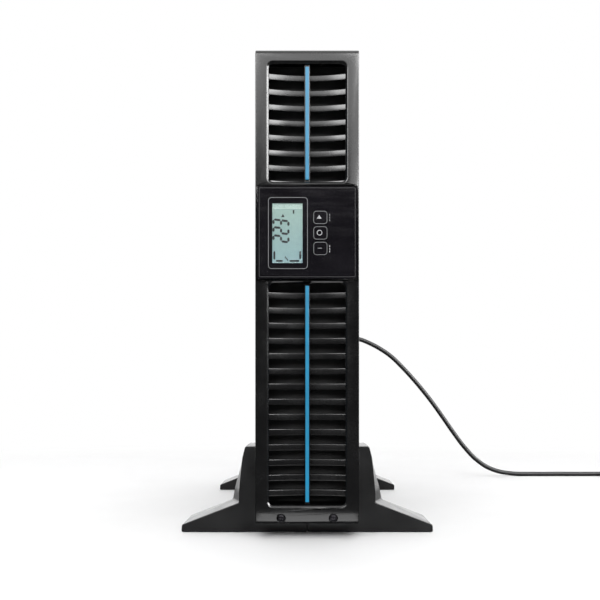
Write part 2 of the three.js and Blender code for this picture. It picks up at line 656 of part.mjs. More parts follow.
function rearPanel() {
  const plate = box(
    -PANEL_HALF_WIDTH, PANEL_HALF_WIDTH, BACK_Y - PANEL_THICKNESS, BACK_Y, PANEL_BOTTOM, PANEL_TOP);
  const through = [BACK_Y - PANEL_THICKNESS - 1, BACK_Y + 1];
  const [blockX, blockZ] = OUTLET_BLOCK_HALF;
  const [inletX, inletZ] = INLET_HALF;
  const vents = Array.from({ length: 6 }, (_, i) => {
    const x = -25 + i * 9;
    return box(x, x + 4, ...through, 24, 54);
  });
  return piece("rear_panel", cut(
    plate,
    rodAlongY(0, FAN_Z, 38, ...through, 40),
    panelOpening(-OUTLET_X - blockX, -OUTLET_X + blockX, OUTLET_Z - blockZ, OUTLET_Z + blockZ),
    panelOpening(OUTLET_X - blockX, OUTLET_X + blockX, OUTLET_Z - blockZ, OUTLET_Z + blockZ),
    panelOpening(INLET_X - inletX, INLET_X + inletX, INLET_Z - inletZ, INLET_Z + inletZ),
    rodAlongY(BREAKER_X, INLET_Z, 6.5, ...through),
    panelOpening(-28, 28, ...SLOT_Z),
    panelOpening(-PORT_HALF_WIDTH, PORT_HALF_WIDTH, ...PORTS_Z),
    rodAlongY(EARTH[0], EARTH[1], 2.9, ...through, 12),
    ...vents,
  ), paintedSteel);
}

// The outline of a mains connector, two of its corners cut off, with its long side along Z.
function connectorOutline(x, z, halfWidth, halfHeight) {
  const corner = 4;
  return polygon([
    [x - halfWidth, z - halfHeight],
    [x + halfWidth - corner, z - halfHeight],
    [x + halfWidth, z - halfHeight + corner],
    [x + halfWidth, z + halfHeight - corner],
    [x + halfWidth - corner, z + halfHeight],
    [x - halfWidth, z + halfHeight],
  ]);
}

function outlet(z) {
  const groove = cut(
    prismAlongY(connectorOutline(0, z, 8.5, 12.3), BACK_Y - 12, BACK_Y + 3),
    prismAlongY(connectorOutline(0, z, 6.2, 10), BACK_Y - 13, BACK_Y + 4));
  const slots = CONTACTS.map(([x, offset]) =>
    box(x - 2.6, x + 2.6, BACK_Y - 10, BACK_Y + 3, z + offset - 1.3, z + offset + 1.3));
  return [groove, ...slots];
}

// A body that goes through the rear panel, with a flange behind it.
function panelFitting([halfWidth, halfHeight], bodyDepth, flangeWidth, flangeBack) {
  const body = box(-halfWidth, halfWidth, BACK_Y - bodyDepth, BACK_Y + 1, -halfHeight, halfHeight);
  const [flangeX, flangeZ] = [halfWidth + flangeWidth, halfHeight + flangeWidth];
  return join(body, box(-flangeX, flangeX, BACK_Y + GAP, BACK_Y + flangeBack, -flangeZ, flangeZ));
}

function outletBlock(name, x) {
  const outlets = [-OUTLET_PITCH, 0, OUTLET_PITCH].flatMap(outlet);
  const block = piece(name, cut(panelFitting(OUTLET_BLOCK_HALF, 22, 1.5, 1.8), ...outlets), innerPlastic);
  block.position.set(x, 0, OUTLET_Z);
  return block;
}

const pinBox = (x, z, clearance, y0, y1) => {
  const [halfWidth, halfHeight] = PIN_HALF.map((half) => half + clearance);
  return box(x - halfWidth, x + halfWidth, y0, y1, z - halfHeight, z + halfHeight);
};

function mainsInlet() {
  const { halfWidth, halfHeight, floor } = INLET_RECESS;
  const recess = prismAlongY(connectorOutline(0, 0, halfWidth, halfHeight), floor, BACK_Y + 3);
  const pins = CONTACTS.map(([x, z]) => pinBox(x, z, 0, floor - 1, BACK_Y - 3));
  const housing = cut(panelFitting(INLET_HALF, 24, 1.6, 2), recess);
  const inlet = piece("mains_inlet", join(housing, ...pins), innerPlastic);
  inlet.position.set(INLET_X, 0, INLET_Z);
  return inlet;
}

function breaker() {
  const switchBody = box(-9, 9, BACK_Y - 34, BACK_Y - PANEL_THICKNESS - GAP, -15, 15);
  const bushing = rodAlongY(0, 0, 6, BACK_Y - 6, BACK_Y + 4.4);
  const nut = rodAlongY(0, 0, 8.5, BACK_Y + GAP, BACK_Y + 2.8, 6);
  const bore = rodAlongY(0, 0, 4.3, BACK_Y - 8, BACK_Y + 6);
  const body = piece("breaker_body", cut(join(switchBody, bushing, nut), bore), innerPlastic);
  const plunger = rodAlongY(0, 0, 3.9, BACK_Y - 7, BACK_Y + BREAKER_PROUD);
  const unit = groupOf(body, piece("breaker_button", plunger, innerPlastic));
  unit.position.set(BREAKER_X, 0, INLET_Z);
  return unit;
}

function slotCover() {
  const [bottom, top] = SLOT_Z;
  const plate = roundedRectangle(-34, 34, bottom - 7, top + 7, 2);
  return piece("slot_cover", prismAlongY(plate, BACK_Y + GAP, BACK_Y + GAP + PANEL_THICKNESS), paintedSteel);
}

const jackBox = (x, z, margin, y0, y1) => {
  const [halfWidth, halfHeight] = NETWORK_HALF.map((half) => half + margin);
  return box(x - halfWidth, x + halfWidth, y0, y1, z - halfHeight, z + halfHeight);
};

function networkJack(name, x, z) {
  const shell = jackBox(x, z, JACK_WALL, BACK_Y - 17, BACK_Y + 1);
  return piece(name, cut(shell, jackBox(x, z, 0, BACK_Y - 13, BACK_Y + 2)), zincSteel);
}

// A plate with room for the two network jacks, a square USB socket, and a serial port that stands proud.
function portBlock() {
  const body = box(-PORT_HALF_WIDTH, PORT_HALF_WIDTH, BACK_Y - 18, BACK_Y + 0.6, ...PORTS_Z);
  const sockets = NETWORK_SOCKETS.map(([x, z]) =>
    jackBox(x, z, JACK_WALL + GAP, BACK_Y - 17 - GAP, BACK_Y + 1));
  const [usbX, usbZ] = USB;
  const usbHole = box(usbX - 4.2, usbX + 4.2, BACK_Y - 10, BACK_Y + 1, usbZ - 4, usbZ + 4);
  const usbTongue = box(usbX - 1.6, usbX + 1.6, BACK_Y - 11, BACK_Y - 0.5, usbZ - 2.6, usbZ + 2.6);
  const [serialX, serialZ] = SERIAL;
  const serial = prismAlongY(
    roundedRectangle(serialX - 4.2, serialX + 4.2, serialZ - 8.5, serialZ + 8.5, 2), BACK_Y, BACK_Y + 5.4);
  return piece("port_block", join(cut(body, ...sockets, usbHole), usbTongue, serial), zincSteel);
}

function earthScrew() {
  const [x, z] = EARTH;
  const shank = rodAlongY(x, z, 2.5, BACK_Y - 10, BACK_Y + 1, 12);
  const head = rodAlongY(x, z, 4.6, BACK_Y + GAP, BACK_Y + 3.6, 16);
  const slot = box(x - 3.5, x + 3.5, BACK_Y + 2.6, BACK_Y + 5, z - 0.5, z + 0.5);
  return piece("earth_screw", cut(join(shank, head), slot), brass);
}

// ---------------------------------------------------------------- stands

function footSection(contour) {
  return [
    [GAP / 2, FOOT_BOTTOM],
    ...contour,
    [CHASSIS_HALF_WIDTH + GAP, BODY_BOTTOM],
    [GAP / 2, BODY_BOTTOM],
  ];
}

function padGeometry(clearance) {
  const halfLength = PAD.length / 2 + clearance;
  const halfWidth = PAD.width / 2 + clearance;
  const shape = roundedRectangle(
    PAD.middleX - halfLength, PAD.middleX + halfLength,
    STAND_DEPTH / 2 - halfWidth, STAND_DEPTH / 2 + halfWidth, 3);
  return prismAlongZ(shape, -clearance, PAD.height + clearance, 4);
}

function footGeometry() {
  const face = footSection(FACE_CONTOUR);
  const ridge = footSection(RIDGE_CONTOUR);
  const body = loft([face, ridge, face], [0, STAND_DEPTH / 2, STAND_DEPTH]);
  return cut(body, padGeometry(GAP));
}

// The left half is the right half turned half a turn about Z, which the foot's own symmetry allows.
function stand(place, front) {
  const foot = footGeometry();
  const pad = padGeometry(0);
  const halves = ["right", "left"].map((side) => {
    const name = `${place}_${side}`;
    const half = groupOf(piece(`${name}_foot`, foot, footPlastic), piece(`${name}_pad`, pad, rubber));
    if (side === "left") {
      half.rotation.z = Math.PI;
      half.position.y = STAND_DEPTH;
    }
    return half;
  });
  const both = groupOf(...halves);
  both.position.y = front;
  return both;
}

// ---------------------------------------------------------------- mains lead

function lineConnector() {
  const { halfWidth, halfHeight, floor } = INLET_RECESS;
  const outline = connectorOutline(0, 0, halfWidth - GAP, halfHeight - GAP);
  const nose = prismAlongY(outline, floor + GAP, BACK_Y + 6);
  const grip = prismAlongY(roundedRectangle(-10, 10, -14, 14, 4), BACK_Y + 2 + GAP, RELIEF_END - 30);
  const slots = CONTACTS.map(([x, z]) => pinBox(x, z, GAP, floor - 1, BACK_Y - 3 + GAP));
  const connector = piece("line_connector", cut(join(nose, grip), ...slots), cordJacket);
  connector.position.set(INLET_X, 0, INLET_Z);
  return connector;
}

function strainRelief() {
  const sleeve = rodAlongY(INLET_X, INLET_Z, 6.4, RELIEF_END - 30 + GAP, RELIEF_END, 16, 4.3);
  return piece("strain_relief", sleeve, cordJacket);
}

function cordSection() {
  const section = new THREE.Shape();
  section.absarc(0, 0, CORD_RADIUS, 0, 2 * Math.PI);
  return section;
}

function cordTube(name, route, steps) {
  const points = route.map((point) => new THREE.Vector3(...point));
  const path = new THREE.CatmullRomCurve3(points, false, "centripetal");
  const shape = new THREE.Shape(cordSection().getSpacedPoints(CORD_SIDES).slice(0, CORD_SIDES));
  const geometry = new THREE.ExtrudeGeometry(shape, { steps, extrudePath: path, bevelEnabled: false });
  return piece(name, geometry, cordJacket);
}

function cordCoil() {
  const half = 2 * CORD_RADIUS + 0.1;
  const ring = turned([
    [COIL.turn - half, 0],
    [COIL.turn + half, 0],
    [COIL.turn + half, COIL.height],
    [COIL.turn - half, COIL.height],
    [COIL.turn - half, 0],
  ], 32);
  ring.rotateX(Math.PI / 2);
  const mesh = piece("cord_coil", ring, cordJacket);
  mesh.position.set(COIL.x, COIL.y, 0);
  return mesh;
}

// The end of the lead outside the coil's ring, which rises smoothly to the middle of the plug.
function cordTail() {
  const route = [0.62, 0.72, 0.84, 0.985].map((t) => [
    PLUG.x,
    COIL.y - t * TAIL_LENGTH,
    COIL.topTurn + (PLUG.z - COIL.topTurn) * t * t * (3 - 2 * t),
  ]);
  return cordTube("cord_tail", route, 4);
}

function mainsPlug() {
  const shell = turned([
    [0, 0],
    [4.4, 0],
    [6, 14],
    [13, 24],
    [18, 32],
    [18, 52],
    [0, 52],
  ], 24);
  const pins = [-9.5, 9.5].map((x) => rodAlongY(x, 0, 2.4, 51, 71, 12));
  const plug = piece("mains_plug", join(shell, ...pins), cordJacket);
  plug.rotation.z = Math.PI;
  plug.position.set(PLUG.x, PLUG.tail, PLUG.z);
  return plug;
}

// ---------------------------------------------------------------- the whole unit

const unit = new THREE.Group();
unit.add(
  frontBezel(),
  grille("upper_grille", GRILLES.upper),
  grille("lower_grille", GRILLES.lower),
  accentStrip("upper_accent_strip", GRILLES.upper),
  accentStrip("lower_accent_strip", GRILLES.lower),
  bezelScrew("bezel_screw_left", -SCREW_X),
  bezelScrew("bezel_screw_right", SCREW_X),
  displayUnit(),
  chassisTray(),
  chassisCover(),
  frontPlate(),
  rearPanel(),
  divider(),
  batteryDoor(),
  batteryTray(),
  ...batteries(),
  mainBoard(),
  transformer(),
  inductor(),
  heatsink("heatsink_upper", 366, 1),
  heatsink("heatsink_lower", 352, -1),
  capacitor("capacitor_1", FACE_Y + 90, 252),
  capacitor("capacitor_2", FACE_Y + 132, 252),
  fan(),
  outletBlock("outlet_block_left", -OUTLET_X),
  outletBlock("outlet_block_right", OUTLET_X),
  mainsInlet(),
  breaker(),
  slotCover(),
  portBlock(),
  ...NETWORK_SOCKETS.map(([x, z], i) => networkJack(`network_jack_${i + 1}`, x, z)),
  earthScrew(),
  ...Object.entries(STAND_FRONTS).map(([place, front]) => stand(place, front)),
  lineConnector(),
  strainRelief(),
  cordTube("cord_run", CORD_ROUTE, CORD_STEPS),
  cordCoil(),
  cordTail(),
  mainsPlug(),
);

export default unit;
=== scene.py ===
"""A rack or tower uninterruptible power supply on its two stands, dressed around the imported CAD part.

Shapes are drawn in millimetres, in the CAD part's own frame, and become metres when a piece is finished.
"""

import math

import bmesh
import bpy
from mathutils import Matrix, Vector


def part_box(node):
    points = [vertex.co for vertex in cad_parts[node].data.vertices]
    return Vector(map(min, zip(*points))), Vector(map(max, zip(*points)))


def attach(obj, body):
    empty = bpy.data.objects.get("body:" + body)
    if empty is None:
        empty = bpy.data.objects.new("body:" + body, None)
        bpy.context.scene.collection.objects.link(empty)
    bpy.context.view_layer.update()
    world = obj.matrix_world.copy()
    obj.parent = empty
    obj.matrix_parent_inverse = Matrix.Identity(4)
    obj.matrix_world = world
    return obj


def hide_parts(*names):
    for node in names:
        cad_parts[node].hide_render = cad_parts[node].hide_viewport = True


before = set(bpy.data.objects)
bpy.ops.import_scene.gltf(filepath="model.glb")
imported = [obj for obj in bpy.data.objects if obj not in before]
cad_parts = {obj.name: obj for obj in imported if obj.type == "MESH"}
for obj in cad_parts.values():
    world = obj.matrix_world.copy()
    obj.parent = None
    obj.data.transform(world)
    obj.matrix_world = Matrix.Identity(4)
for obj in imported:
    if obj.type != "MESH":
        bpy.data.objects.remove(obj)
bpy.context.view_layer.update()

MM = 0.001


def corners(node):
    """A CAD node's lowest and highest corners, in millimetres."""
    low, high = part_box(node)
    return low / MM, high / MM


# ---------------------------------------------------------------- sizes, in millimetres

FACE_Y = corners("front_bezel")[0].y
BACK_Y = corners("rear_panel")[1].y
FASCIA_LOW, FASCIA_HIGH = corners("display_fascia")
FASCIA_Y = FASCIA_LOW.y
DISPLAY_Z = (FASCIA_LOW.z + FASCIA_HIGH.z) / 2
LCD_Y = corners("lcd_module")[0].y
WINDOW_LOW, WINDOW_HIGH = corners("display_window")
BUTTONS = ("test_button", "off_button", "on_button")

LOUVRE_PITCH = 13.12
LOUVRE_HALF_LENGTH = 36
LOUVRE_HEIGHT = 5.3
LOUVRE_THICKNESS = 1.6
LOUVRE_DEPTHS = {"end": 3.6, "middle": 9.5, "back": 18}  # behind the bezel's face
GRILLES = {"upper": (400.5, 8), "lower": (212.1, 14)}  # the highest louvre's top, and how many louvres

LAYER_THICKNESS = 0.06
FASCIA_BEVEL = 1.2

STAND_DEPTH = 57
# From a stand's face inward: the depth, and how far the outline is drawn in there.
STAND_ROUNDING = [(0, 0.7), (0.06, 0.4), (0.2, 0.17), (0.42, 0.05), (0.7, 0)]
# A stand's outline from its toe to the top of its upright, first on its two faces and then along its ridge.
FACE_CONTOUR = [
    (113.1, 0.4), (112.7, 7), (61.2, 26.8), (61.3, 36.5),
    (60.2, 49.4), (58.5, 66.5), (55.8, 77.3), (43.5, 77.3),
]
RIDGE_CONTOUR = [
    (114, 0.4), (113.8, 5.6), (69.3, 26.4), (67.2, 37.6),
    (64, 49), (58.8, 69.5), (55.8, 77.5), (43.5, 78.6),
]
STAND_SEAT = [(43.5, 12.5), (0.15, 12.5)]  # under the case, from its side to the middle
STAND_UNDERSIDE = [(0.15, 0.4)]
STAND_CORNER = 1.5  # how far from a corner of the outline its rounding starts

COVER_SCREWS = {"y": (-150, -35, 80, 195), "z": (100, 400)}
PANEL_SCREW_X = 36
PANEL_SCREW_HEIGHTS = (150, 240)  # and one near the panel's top and bottom
GUARD_WIRE = 0.8
BLADES = 7
BLADE_ROOT = 16.5
BLADE_STEPS = 5
BLADE_THICKNESS = 1.1

CORD_RADIUS = 3.25
INLET = (18, 214)  # X and Z of the inlet and the connector in it
RELIEF_END = BACK_Y + 60
RELIEF_LENGTH = 31
COIL = {"x": 485.0, "y": 281.25, "outer": 42.25, "inner": 35.75, "low": 3.3, "high": 9.85}
COIL_TURNS = 3.25
COIL_STEPS = 16  # route points in each turn
TAIL_LENGTH = 41
PLUG_Z = 18.3

# ---------------------------------------------------------------- camera

CAMERA_HEIGHT = 0.1243
CAMERA_DISTANCE = 0.700
camera_data = bpy.data.cameras.new("camera")
camera_data.lens = 49.08
camera_data.shift_x = -0.012
camera_data.shift_y = 0.1567
camera = bpy.data.objects.new("camera", camera_data)
camera.location = (0, FACE_Y * MM - CAMERA_DISTANCE, CAMERA_HEIGHT)
camera.rotation_euler = (math.radians(90), 0, 0)
bpy.context.scene.collection.objects.link(camera)
bpy.context.scene.camera = camera

# ---------------------------------------------------------------- making pieces


def finished(piece, material, body="unit", nodes=()):
    """Gives a piece its material and slot, and lets it ride on a body and stand for its CAD nodes."""
    piece.data.materials.clear()
    piece.data.materials.append(material)
    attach(piece, body)
    if nodes:
        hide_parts(*nodes)
    return piece


def linked(name, data):
    made = bpy.data.objects.new(name, data)
    bpy.context.scene.collection.objects.link(made)
    return made


def shade(bm, sharp_angle=35):
    """Smooth faces, with a crease wherever they turn by more than the angle."""
    for face in bm.faces:
        face.smooth = True
    for edge in bm.edges:
        turn = edge.calc_face_angle(0) if len(edge.link_faces) == 2 else 0
        edge.smooth = turn < math.radians(sharp_angle)


def meshed(name, bm, scale=MM):
    """An object with the drawn mesh, turned to metres."""
    bmesh.ops.scale(bm, vec=(scale, scale, scale), verts=bm.verts)
    bmesh.ops.recalc_face_normals(bm, faces=bm.faces)
    shade(bm)
    mesh = bpy.data.meshes.new(name)
    bm.to_mesh(mesh)
    bm.free()
    return linked(name, mesh)


def round_edges(piece, width, segments=2, angle=30):
    """Rounds the piece's edges, width in millimetres."""
    bevel = piece.modifiers.new("rounded edges", "BEVEL")
    bevel.width = width * MM
    bevel.segments = segments
    bevel.limit_method = "ANGLE"
    bevel.angle_limit = math.radians(angle)
    bevel.use_clamp_overlap = False
    bevel.miter_outer = "MITER_ARC"
    bevel.harden_normals = True
    return piece


def refined(node, width=0.4, segments=2, angle=30):
    """A copy of a CAD node's mesh with its edges rounded. It stands for that node."""
    bm = bmesh.new()
    bm.from_mesh(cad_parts[node].data)
    bmesh.ops.remove_doubles(bm, verts=bm.verts, dist=1e-6)
    return round_edges(meshed(node + "_rounded", bm, 1), width, segments, angle)


def skin(bm, rings):
    """Joins rings of equally many points into one closed skin with a face at each end."""
    made = [[bm.verts.new(point) for point in ring] for ring in rings]
    count = len(made[0])
    for near, far in zip(made, made[1:]):
        for i in range(count):
            j = (i + 1) % count
            bm.faces.new((near[i], near[j], far[j], far[i]))
    bm.faces.new(made[0])
    bm.faces.new(made[-1])


def block(bm, low, high):
    (x0, y0, z0), (x1, y1, z1) = low, high
    outline = ((x0, z0), (x1, z0), (x1, z1), (x0, z1))
    skin(bm, [[(x, y, z) for x, z in outline] for y in (y0, y1)])


def rounded_rectangle(half_width, half_height, radius, steps=5):
    points = []
    for sign_x, sign_z, start in ((1, -1, 270), (1, 1, 0), (-1, 1, 90), (-1, -1, 180)):
        for i in range(steps + 1):
            angle = math.radians(start + 90 * i / steps)
            x = sign_x * (half_width - radius) + radius * math.cos(angle)
            z = sign_z * (half_height - radius) + radius * math.sin(angle)
            points.append((x, z))
    return points


def slab(bm, outline, y0, y1, centre=(0, 0)):
    """A flat shape drawn in X and Z, between two depths."""
    skin(bm, [[(centre[0] + x, y, centre[1] + z) for x, z in outline] for y in (y0, y1)])


def frame_shape(bm, centre, half_size, radius, line, y0, y1):
    """A thin rounded frame, such as a printed outline."""
    outer = rounded_rectangle(*half_size, radius)
    inner = rounded_rectangle(half_size[0] - line, half_size[1] - line, max(radius - line, 0.1))
    rings = [
        [(centre[0] + x, y, centre[1] + z) for x, z in outline]
        for outline, y in ((outer, y0), (outer, y1), (inner, y1), (inner, y0))
    ]
    made = [[bm.verts.new(point) for point in ring] for ring in rings]
    for near, far in zip(made, made[1:] + made[:1]):
        for i in range(len(near)):
            j = (i + 1) % len(near)
            bm.faces.new((near[i], near[j], far[j], far[i]))


def circle(radius, count, shape=None):
    """Points round a circle in X and Z, each pulled in or out by shape(angle) where it is given."""
    points = []
    for i in range(count):
        angle = 2 * math.pi * i / count
        reach = radius * (shape(angle) if shape else 1)
        points.append((reach * math.cos(angle), reach * math.sin(angle)))
    return points


def lathe(bm, profile, centre=(0, 0), count=32):
    """A profile of radius and Y, turned round an axis along Y. A third value is the ring's own shape."""
    rings = []
    for radius, y, *shape in profile:
        ring = circle(radius, count, *shape)
        rings.append([(centre[0] + x, y, centre[1] + z) for x, z in ring])
    skin(bm, rings)


# ---------------------------------------------------------------- making materials


class Look:
    """One material, drawn about the object's own coordinates."""

    def __init__(self, name, settings):
        self.material = bpy.data.materials.new(name)
        self.material.use_nodes = True
        self.nodes = self.material.node_tree.nodes
        self.shader = self.nodes["Principled BSDF"]
        self.place = self.node("TexCoord", output="Object")
        for socket, value in settings.items():
            self.shader.inputs[socket].default_value = value

    def feed(self, socket, value):
        if isinstance(value, bpy.types.NodeSocket):
            self.material.node_tree.links.new(value, socket)
        else:
            socket.default_value = value

    def node(self, kind, inputs=(), output=0, **settings):
        made = self.nodes.new("ShaderNode" + kind)
        for name, value in settings.items():
            setattr(made, name, value)
        for socket, value in dict(inputs).items():
            self.feed(made.inputs[socket], value)
        return made.outputs[output]

    def noise(self, size, detail=2, stretch=(1, 1, 1)):
        """Cloudy values with lumps of that size in millimetres."""
        place = self.place
        if stretch != (1, 1, 1):
            place = self.node("Mapping", {"Vector": place, "Scale": [1 / s for s in stretch]})
        return self.node("TexNoise", {"Vector": place, "Scale": 1 / (size * MM), "Detail": detail})

    def spread(self, value, low, high, start=0.35, end=0.65):
        return self.node(
            "MapRange",
            {"Value": value, "From Min": start, "From Max": end, "To Min": low, "To Max": high},
        )

    def times(self, first, second):
        return self.node("Math", {0: first, 1: second}, operation="MULTIPLY")

    def plus(self, first, second):
        return self.node("Math", {0: first, 1: second}, operation="ADD")

    def mix(self, amount, first, second):
        return self.node("Mix", {0: amount, 6: first, 7: second}, output=2, data_type="RGBA")

    def edges(self, radius, size=6):
        """Near 1 in broken patches along the edges, and 0 on flat faces."""
        rounded = self.node("Bevel", {"Radius": radius * MM}, samples=4)
        true = self.node("NewGeometry", output="Normal")
        likeness = self.node("VectorMath", {0: rounded, 1: true}, output="Value", operation="DOT_PRODUCT")
        patches = self.spread(self.noise(size, 3), 0, 1, 0.45, 0.62)
        return self.times(self.spread(likeness, 1, 0, 0.75, 0.985), patches)

    def colour(self, value):
        self.feed(self.shader.inputs["Base Color"], value)

    def roughness(self, value):
        self.feed(self.shader.inputs["Roughness"], value)

    def bump(self, height, depth, strength=1.0):
        """Raises the surface by height times depth, in millimetres."""
        normal = self.node("Bump", {"Height": height, "Distance": depth * MM, "Strength": strength})
        self.feed(self.shader.inputs["Normal"], normal)


def shade_of(colour, factor):
    return tuple(c * factor for c in colour[:3]) + (1,)


def moulded(name, colour, roughness, grain=0.35, depth=0.006):
    """Moulded plastic with a fine spark-eroded grain, cloudy gloss and paler handled edges."""
    look = Look(name, {"Specular IOR Level": 0.5})
    cloud = look.spread(look.noise(38, 3), 0, 1)
    body = look.mix(cloud, shade_of(colour, 0.9), shade_of(colour, 1.1))
    rubbed = look.edges(0.5)
    look.colour(look.mix(look.times(rubbed, 0.35), body, shade_of(colour, 2.2)))
    fine = look.noise(grain, 4)
    handled = look.spread(look.noise(22, 4), -0.05, 0.05)
    look.roughness(look.plus(look.plus(roughness, handled), look.spread(fine, -0.04, 0.04)))
    look.bump(look.plus(fine, look.times(look.noise(grain * 4, 2), 0.6)), depth)
    return look.material


def gloss(name, colour, roughness):
    """Polished black plastic with faint wipe marks, fine dust and a soft waviness."""
    look = Look(name, {"Specular IOR Level": 0.5, "Coat Weight": 0.35, "Coat Roughness": 0.05})
    wipes = look.noise(7, 5, (3.5, 1, 0.6))
    dust = look.spread(look.noise(0.5, 1), 0, 1, 0.7, 0.78)
    body = look.mix(look.spread(look.noise(26), 0, 1), shade_of(colour, 0.85), shade_of(colour, 1.15))
    look.colour(look.mix(look.times(dust, 0.25), body, shade_of(colour, 6)))
    look.roughness(look.plus(look.spread(wipes, roughness * 0.7, roughness * 1.6), look.times(dust, 0.25)))
    look.bump(look.noise(14, 1), 0.004)
    return look.material


def powder_coat(name, colour):
    """Textured black powder paint on sheet steel, rubbed at its edges."""
    look = Look(name, {"Specular IOR Level": 0.25})
    cloud = look.spread(look.noise(60, 3), 0, 1)
    body = look.mix(cloud, shade_of(colour, 0.88), shade_of(colour, 1.12))
    look.colour(look.mix(look.times(look.edges(0.4), 0.5), body, shade_of(colour, 3.5)))
    grit = look.noise(0.9, 3)
    look.roughness(look.plus(look.spread(grit, 0.58, 0.72), look.spread(look.noise(25, 4), -0.05, 0.05)))
    look.bump(grit, 0.05)
    return look.material


def plated(name, colour, roughness, tint, streak=(8, 1, 1)):
    """Rolled and plated metal: streaks one way, cloudy passivation and dull edges."""
    look = Look(name, {"Metallic": 1.0})
    cloud = look.spread(look.noise(12, 4), 0, 1)
    body = look.mix(cloud, colour, tint)
    look.colour(look.mix(look.times(look.edges(0.3), 0.4), body, shade_of(colour, 0.55)))
    streaks = look.noise(1.2, 3, streak)
    look.roughness(look.spread(streaks, roughness * 0.75, roughness * 1.35))
    look.bump(streaks, 0.008)
    return look.material


def rubbery(name, colour, roughness=0.75):
    """Matt rubber or foam, paler where it is rubbed."""
    look = Look(name, {"Specular IOR Level": 0.35})
    cloud = look.spread(look.noise(9, 4), 0, 1)
    body = look.mix(cloud, shade_of(colour, 0.8), shade_of(colour, 1.3))
    look.colour(look.mix(look.times(look.edges(0.6, 3), 0.3), body, shade_of(colour, 3)))
    grain = look.noise(0.5, 3)
    look.roughness(look.spread(grain, roughness - 0.08, roughness + 0.08))
    look.bump(grain, 0.02)
    return look.material


def jacket(name, colour):
    """The lead's sleeve: matt, with long soft marks from the coil it was shipped in."""
    look = Look(name, {"Specular IOR Level": 0.4})
    marks = look.noise(5, 3, (3, 3, 1))
    look.colour(look.mix(look.spread(marks, 0, 1), shade_of(colour, 0.75), shade_of(colour, 1.5)))
    look.roughness(look.spread(look.noise(1.5, 3), 0.42, 0.6))
    look.bump(look.noise(0.7, 3), 0.015)
    return look.material


def liquid_crystal(name):
    """The lit display: greenish at the top and bluish below, with a mottled reflector."""
    look = Look(name, {"Roughness": 0.35, "Emission Strength": 0.45})
    height = look.node("SeparateXYZ", {0: look.place}, output="Z")
    ramp = look.spread(height, 0, 1, WINDOW_LOW.z * MM, WINDOW_HIGH.z * MM)
    mottle = look.spread(look.noise(2.5, 4), 0.96, 1.04)
    tone = look.mix(ramp, (0.30, 0.52, 0.62, 1), (0.40, 0.58, 0.52, 1))
    grey = look.mix(1.0, tone, mottle)
    grey.node.blend_type = "MULTIPLY"
    grain = look.spread(look.noise(0.3, 2), 0, 1)
    look.colour(look.mix(grain, (0.09, 0.115, 0.105, 1), (0.11, 0.14, 0.13, 1)))
    look.feed(look.shader.inputs["Emission Color"], grey)
    look.bump(look.noise(0.4, 2), 0.004)
    return look.material


def clear(name):
    """The hard clear cover over the display, with faint scratches."""
    look = Look(name, {"Transmission Weight": 1.0, "IOR": 1.45, "Base Color": (0.93, 0.97, 0.96, 1)})
    scratches = look.noise(1.2, 5, (1, 1, 12))
    look.roughness(look.spread(scratches, 0.0, 0.03, 0.6, 0.85))
    look.bump(look.noise(18, 1), 0.0005)
    return look.material


def painted_glow_plastic(name, colour):
    """Tinted translucent plastic in the middle of a grille, with a painted glow: its emission stands in for
    the light falling on it, as the strip is no lamp.
    """
    look = Look(name, {"Emission Strength": 0.82, "Coat Weight": 0.15, "Coat Roughness": 0.25})
    cloud = look.spread(look.noise(16, 3), 0, 1)
    tone = look.mix(cloud, shade_of(colour, 0.9), shade_of(colour, 1.08))
    look.colour(look.mix(look.times(look.edges(0.3), 0.5), shade_of(colour, 0.12), (0.2, 0.45, 0.6, 1)))
    # Painted light: the emission makes the strip glow in place of the light that falls on it.
    look.feed(look.shader.inputs["Emission Color"], tone)
    look.roughness(look.spread(look.noise(5, 4), 0.3, 0.42))
    look.bump(look.noise(0.6, 3), 0.008)
    return look.material


def ink(name, colour, roughness=0.45):
    """Screen-printed ink, a little thin in places. The same look also colours the painted highlight lines."""
    look = Look(name, {"Specular IOR Level": 0.4})
    thin = look.spread(look.noise(0.8, 3), 0, 1)
    look.colour(look.mix(thin, shade_of(colour, 0.82), shade_of(colour, 1.05)))
    look.roughness(look.spread(look.noise(0.6, 2), roughness - 0.06, roughness + 0.06))
    look.bump(look.noise(0.25, 2), 0.004)
    return look.material


def circuit(name):
    """A green circuit board with a grid of traces and pads under its mask."""
    look = Look(name, {"Specular IOR Level": 0.55})
    bricks = look.node(
        "TexBrick",
        {"Vector": look.place, "Scale": 90.0, "Mortar Size": 0.03, "Brick Width": 0.6, "Row Height": 0.22},
        output="Fac",
    )
    mask = look.mix(look.spread(look.noise(9, 3), 0, 1), (0.012, 0.075, 0.03, 1), (0.02, 0.11, 0.045, 1))
    look.colour(look.mix(bricks, mask, (0.05, 0.2, 0.08, 1)))
    look.roughness(look.spread(look.noise(3, 3), 0.28, 0.42))
    look.bump(bricks, 0.04)
    return look.material


def wound(name, colour):
    """Lacquered copper wire, wound side by side."""
    look = Look(name, {"Metallic": 0.85, "Coat Weight": 0.5, "Coat Roughness": 0.15})
    wires = look.node(
        "TexWave", {"Vector": look.place, "Scale": 240.0, "Distortion": 0.6}, output="Fac",
        bands_direction="Z",
    )
    # The darker bands are painted shade, standing in for the grooves between the round wires.
    look.colour(look.mix(wires, shade_of(colour, 0.4), shade_of(colour, 1.1)))
    look.roughness(look.spread(look.noise(4, 3), 0.28, 0.45))
    look.bump(wires, 0.3)
    return look.material


NEUTRAL = {
    "bezel": (0.0055, 0.0055, 0.0057, 1),
    "grille": (0.0055, 0.0055, 0.0057, 1),
    "fascia": (0.0045, 0.004, 0.0055, 1),
    "inner": (0.012, 0.012, 0.013, 1),
    "steel": (0.018, 0.018, 0.019, 1),
    "foot": (0.010, 0.010, 0.0105, 1),
    "rubber": (0.008, 0.008, 0.008, 1),
    "cord": (0.010, 0.010, 0.010, 1),
}

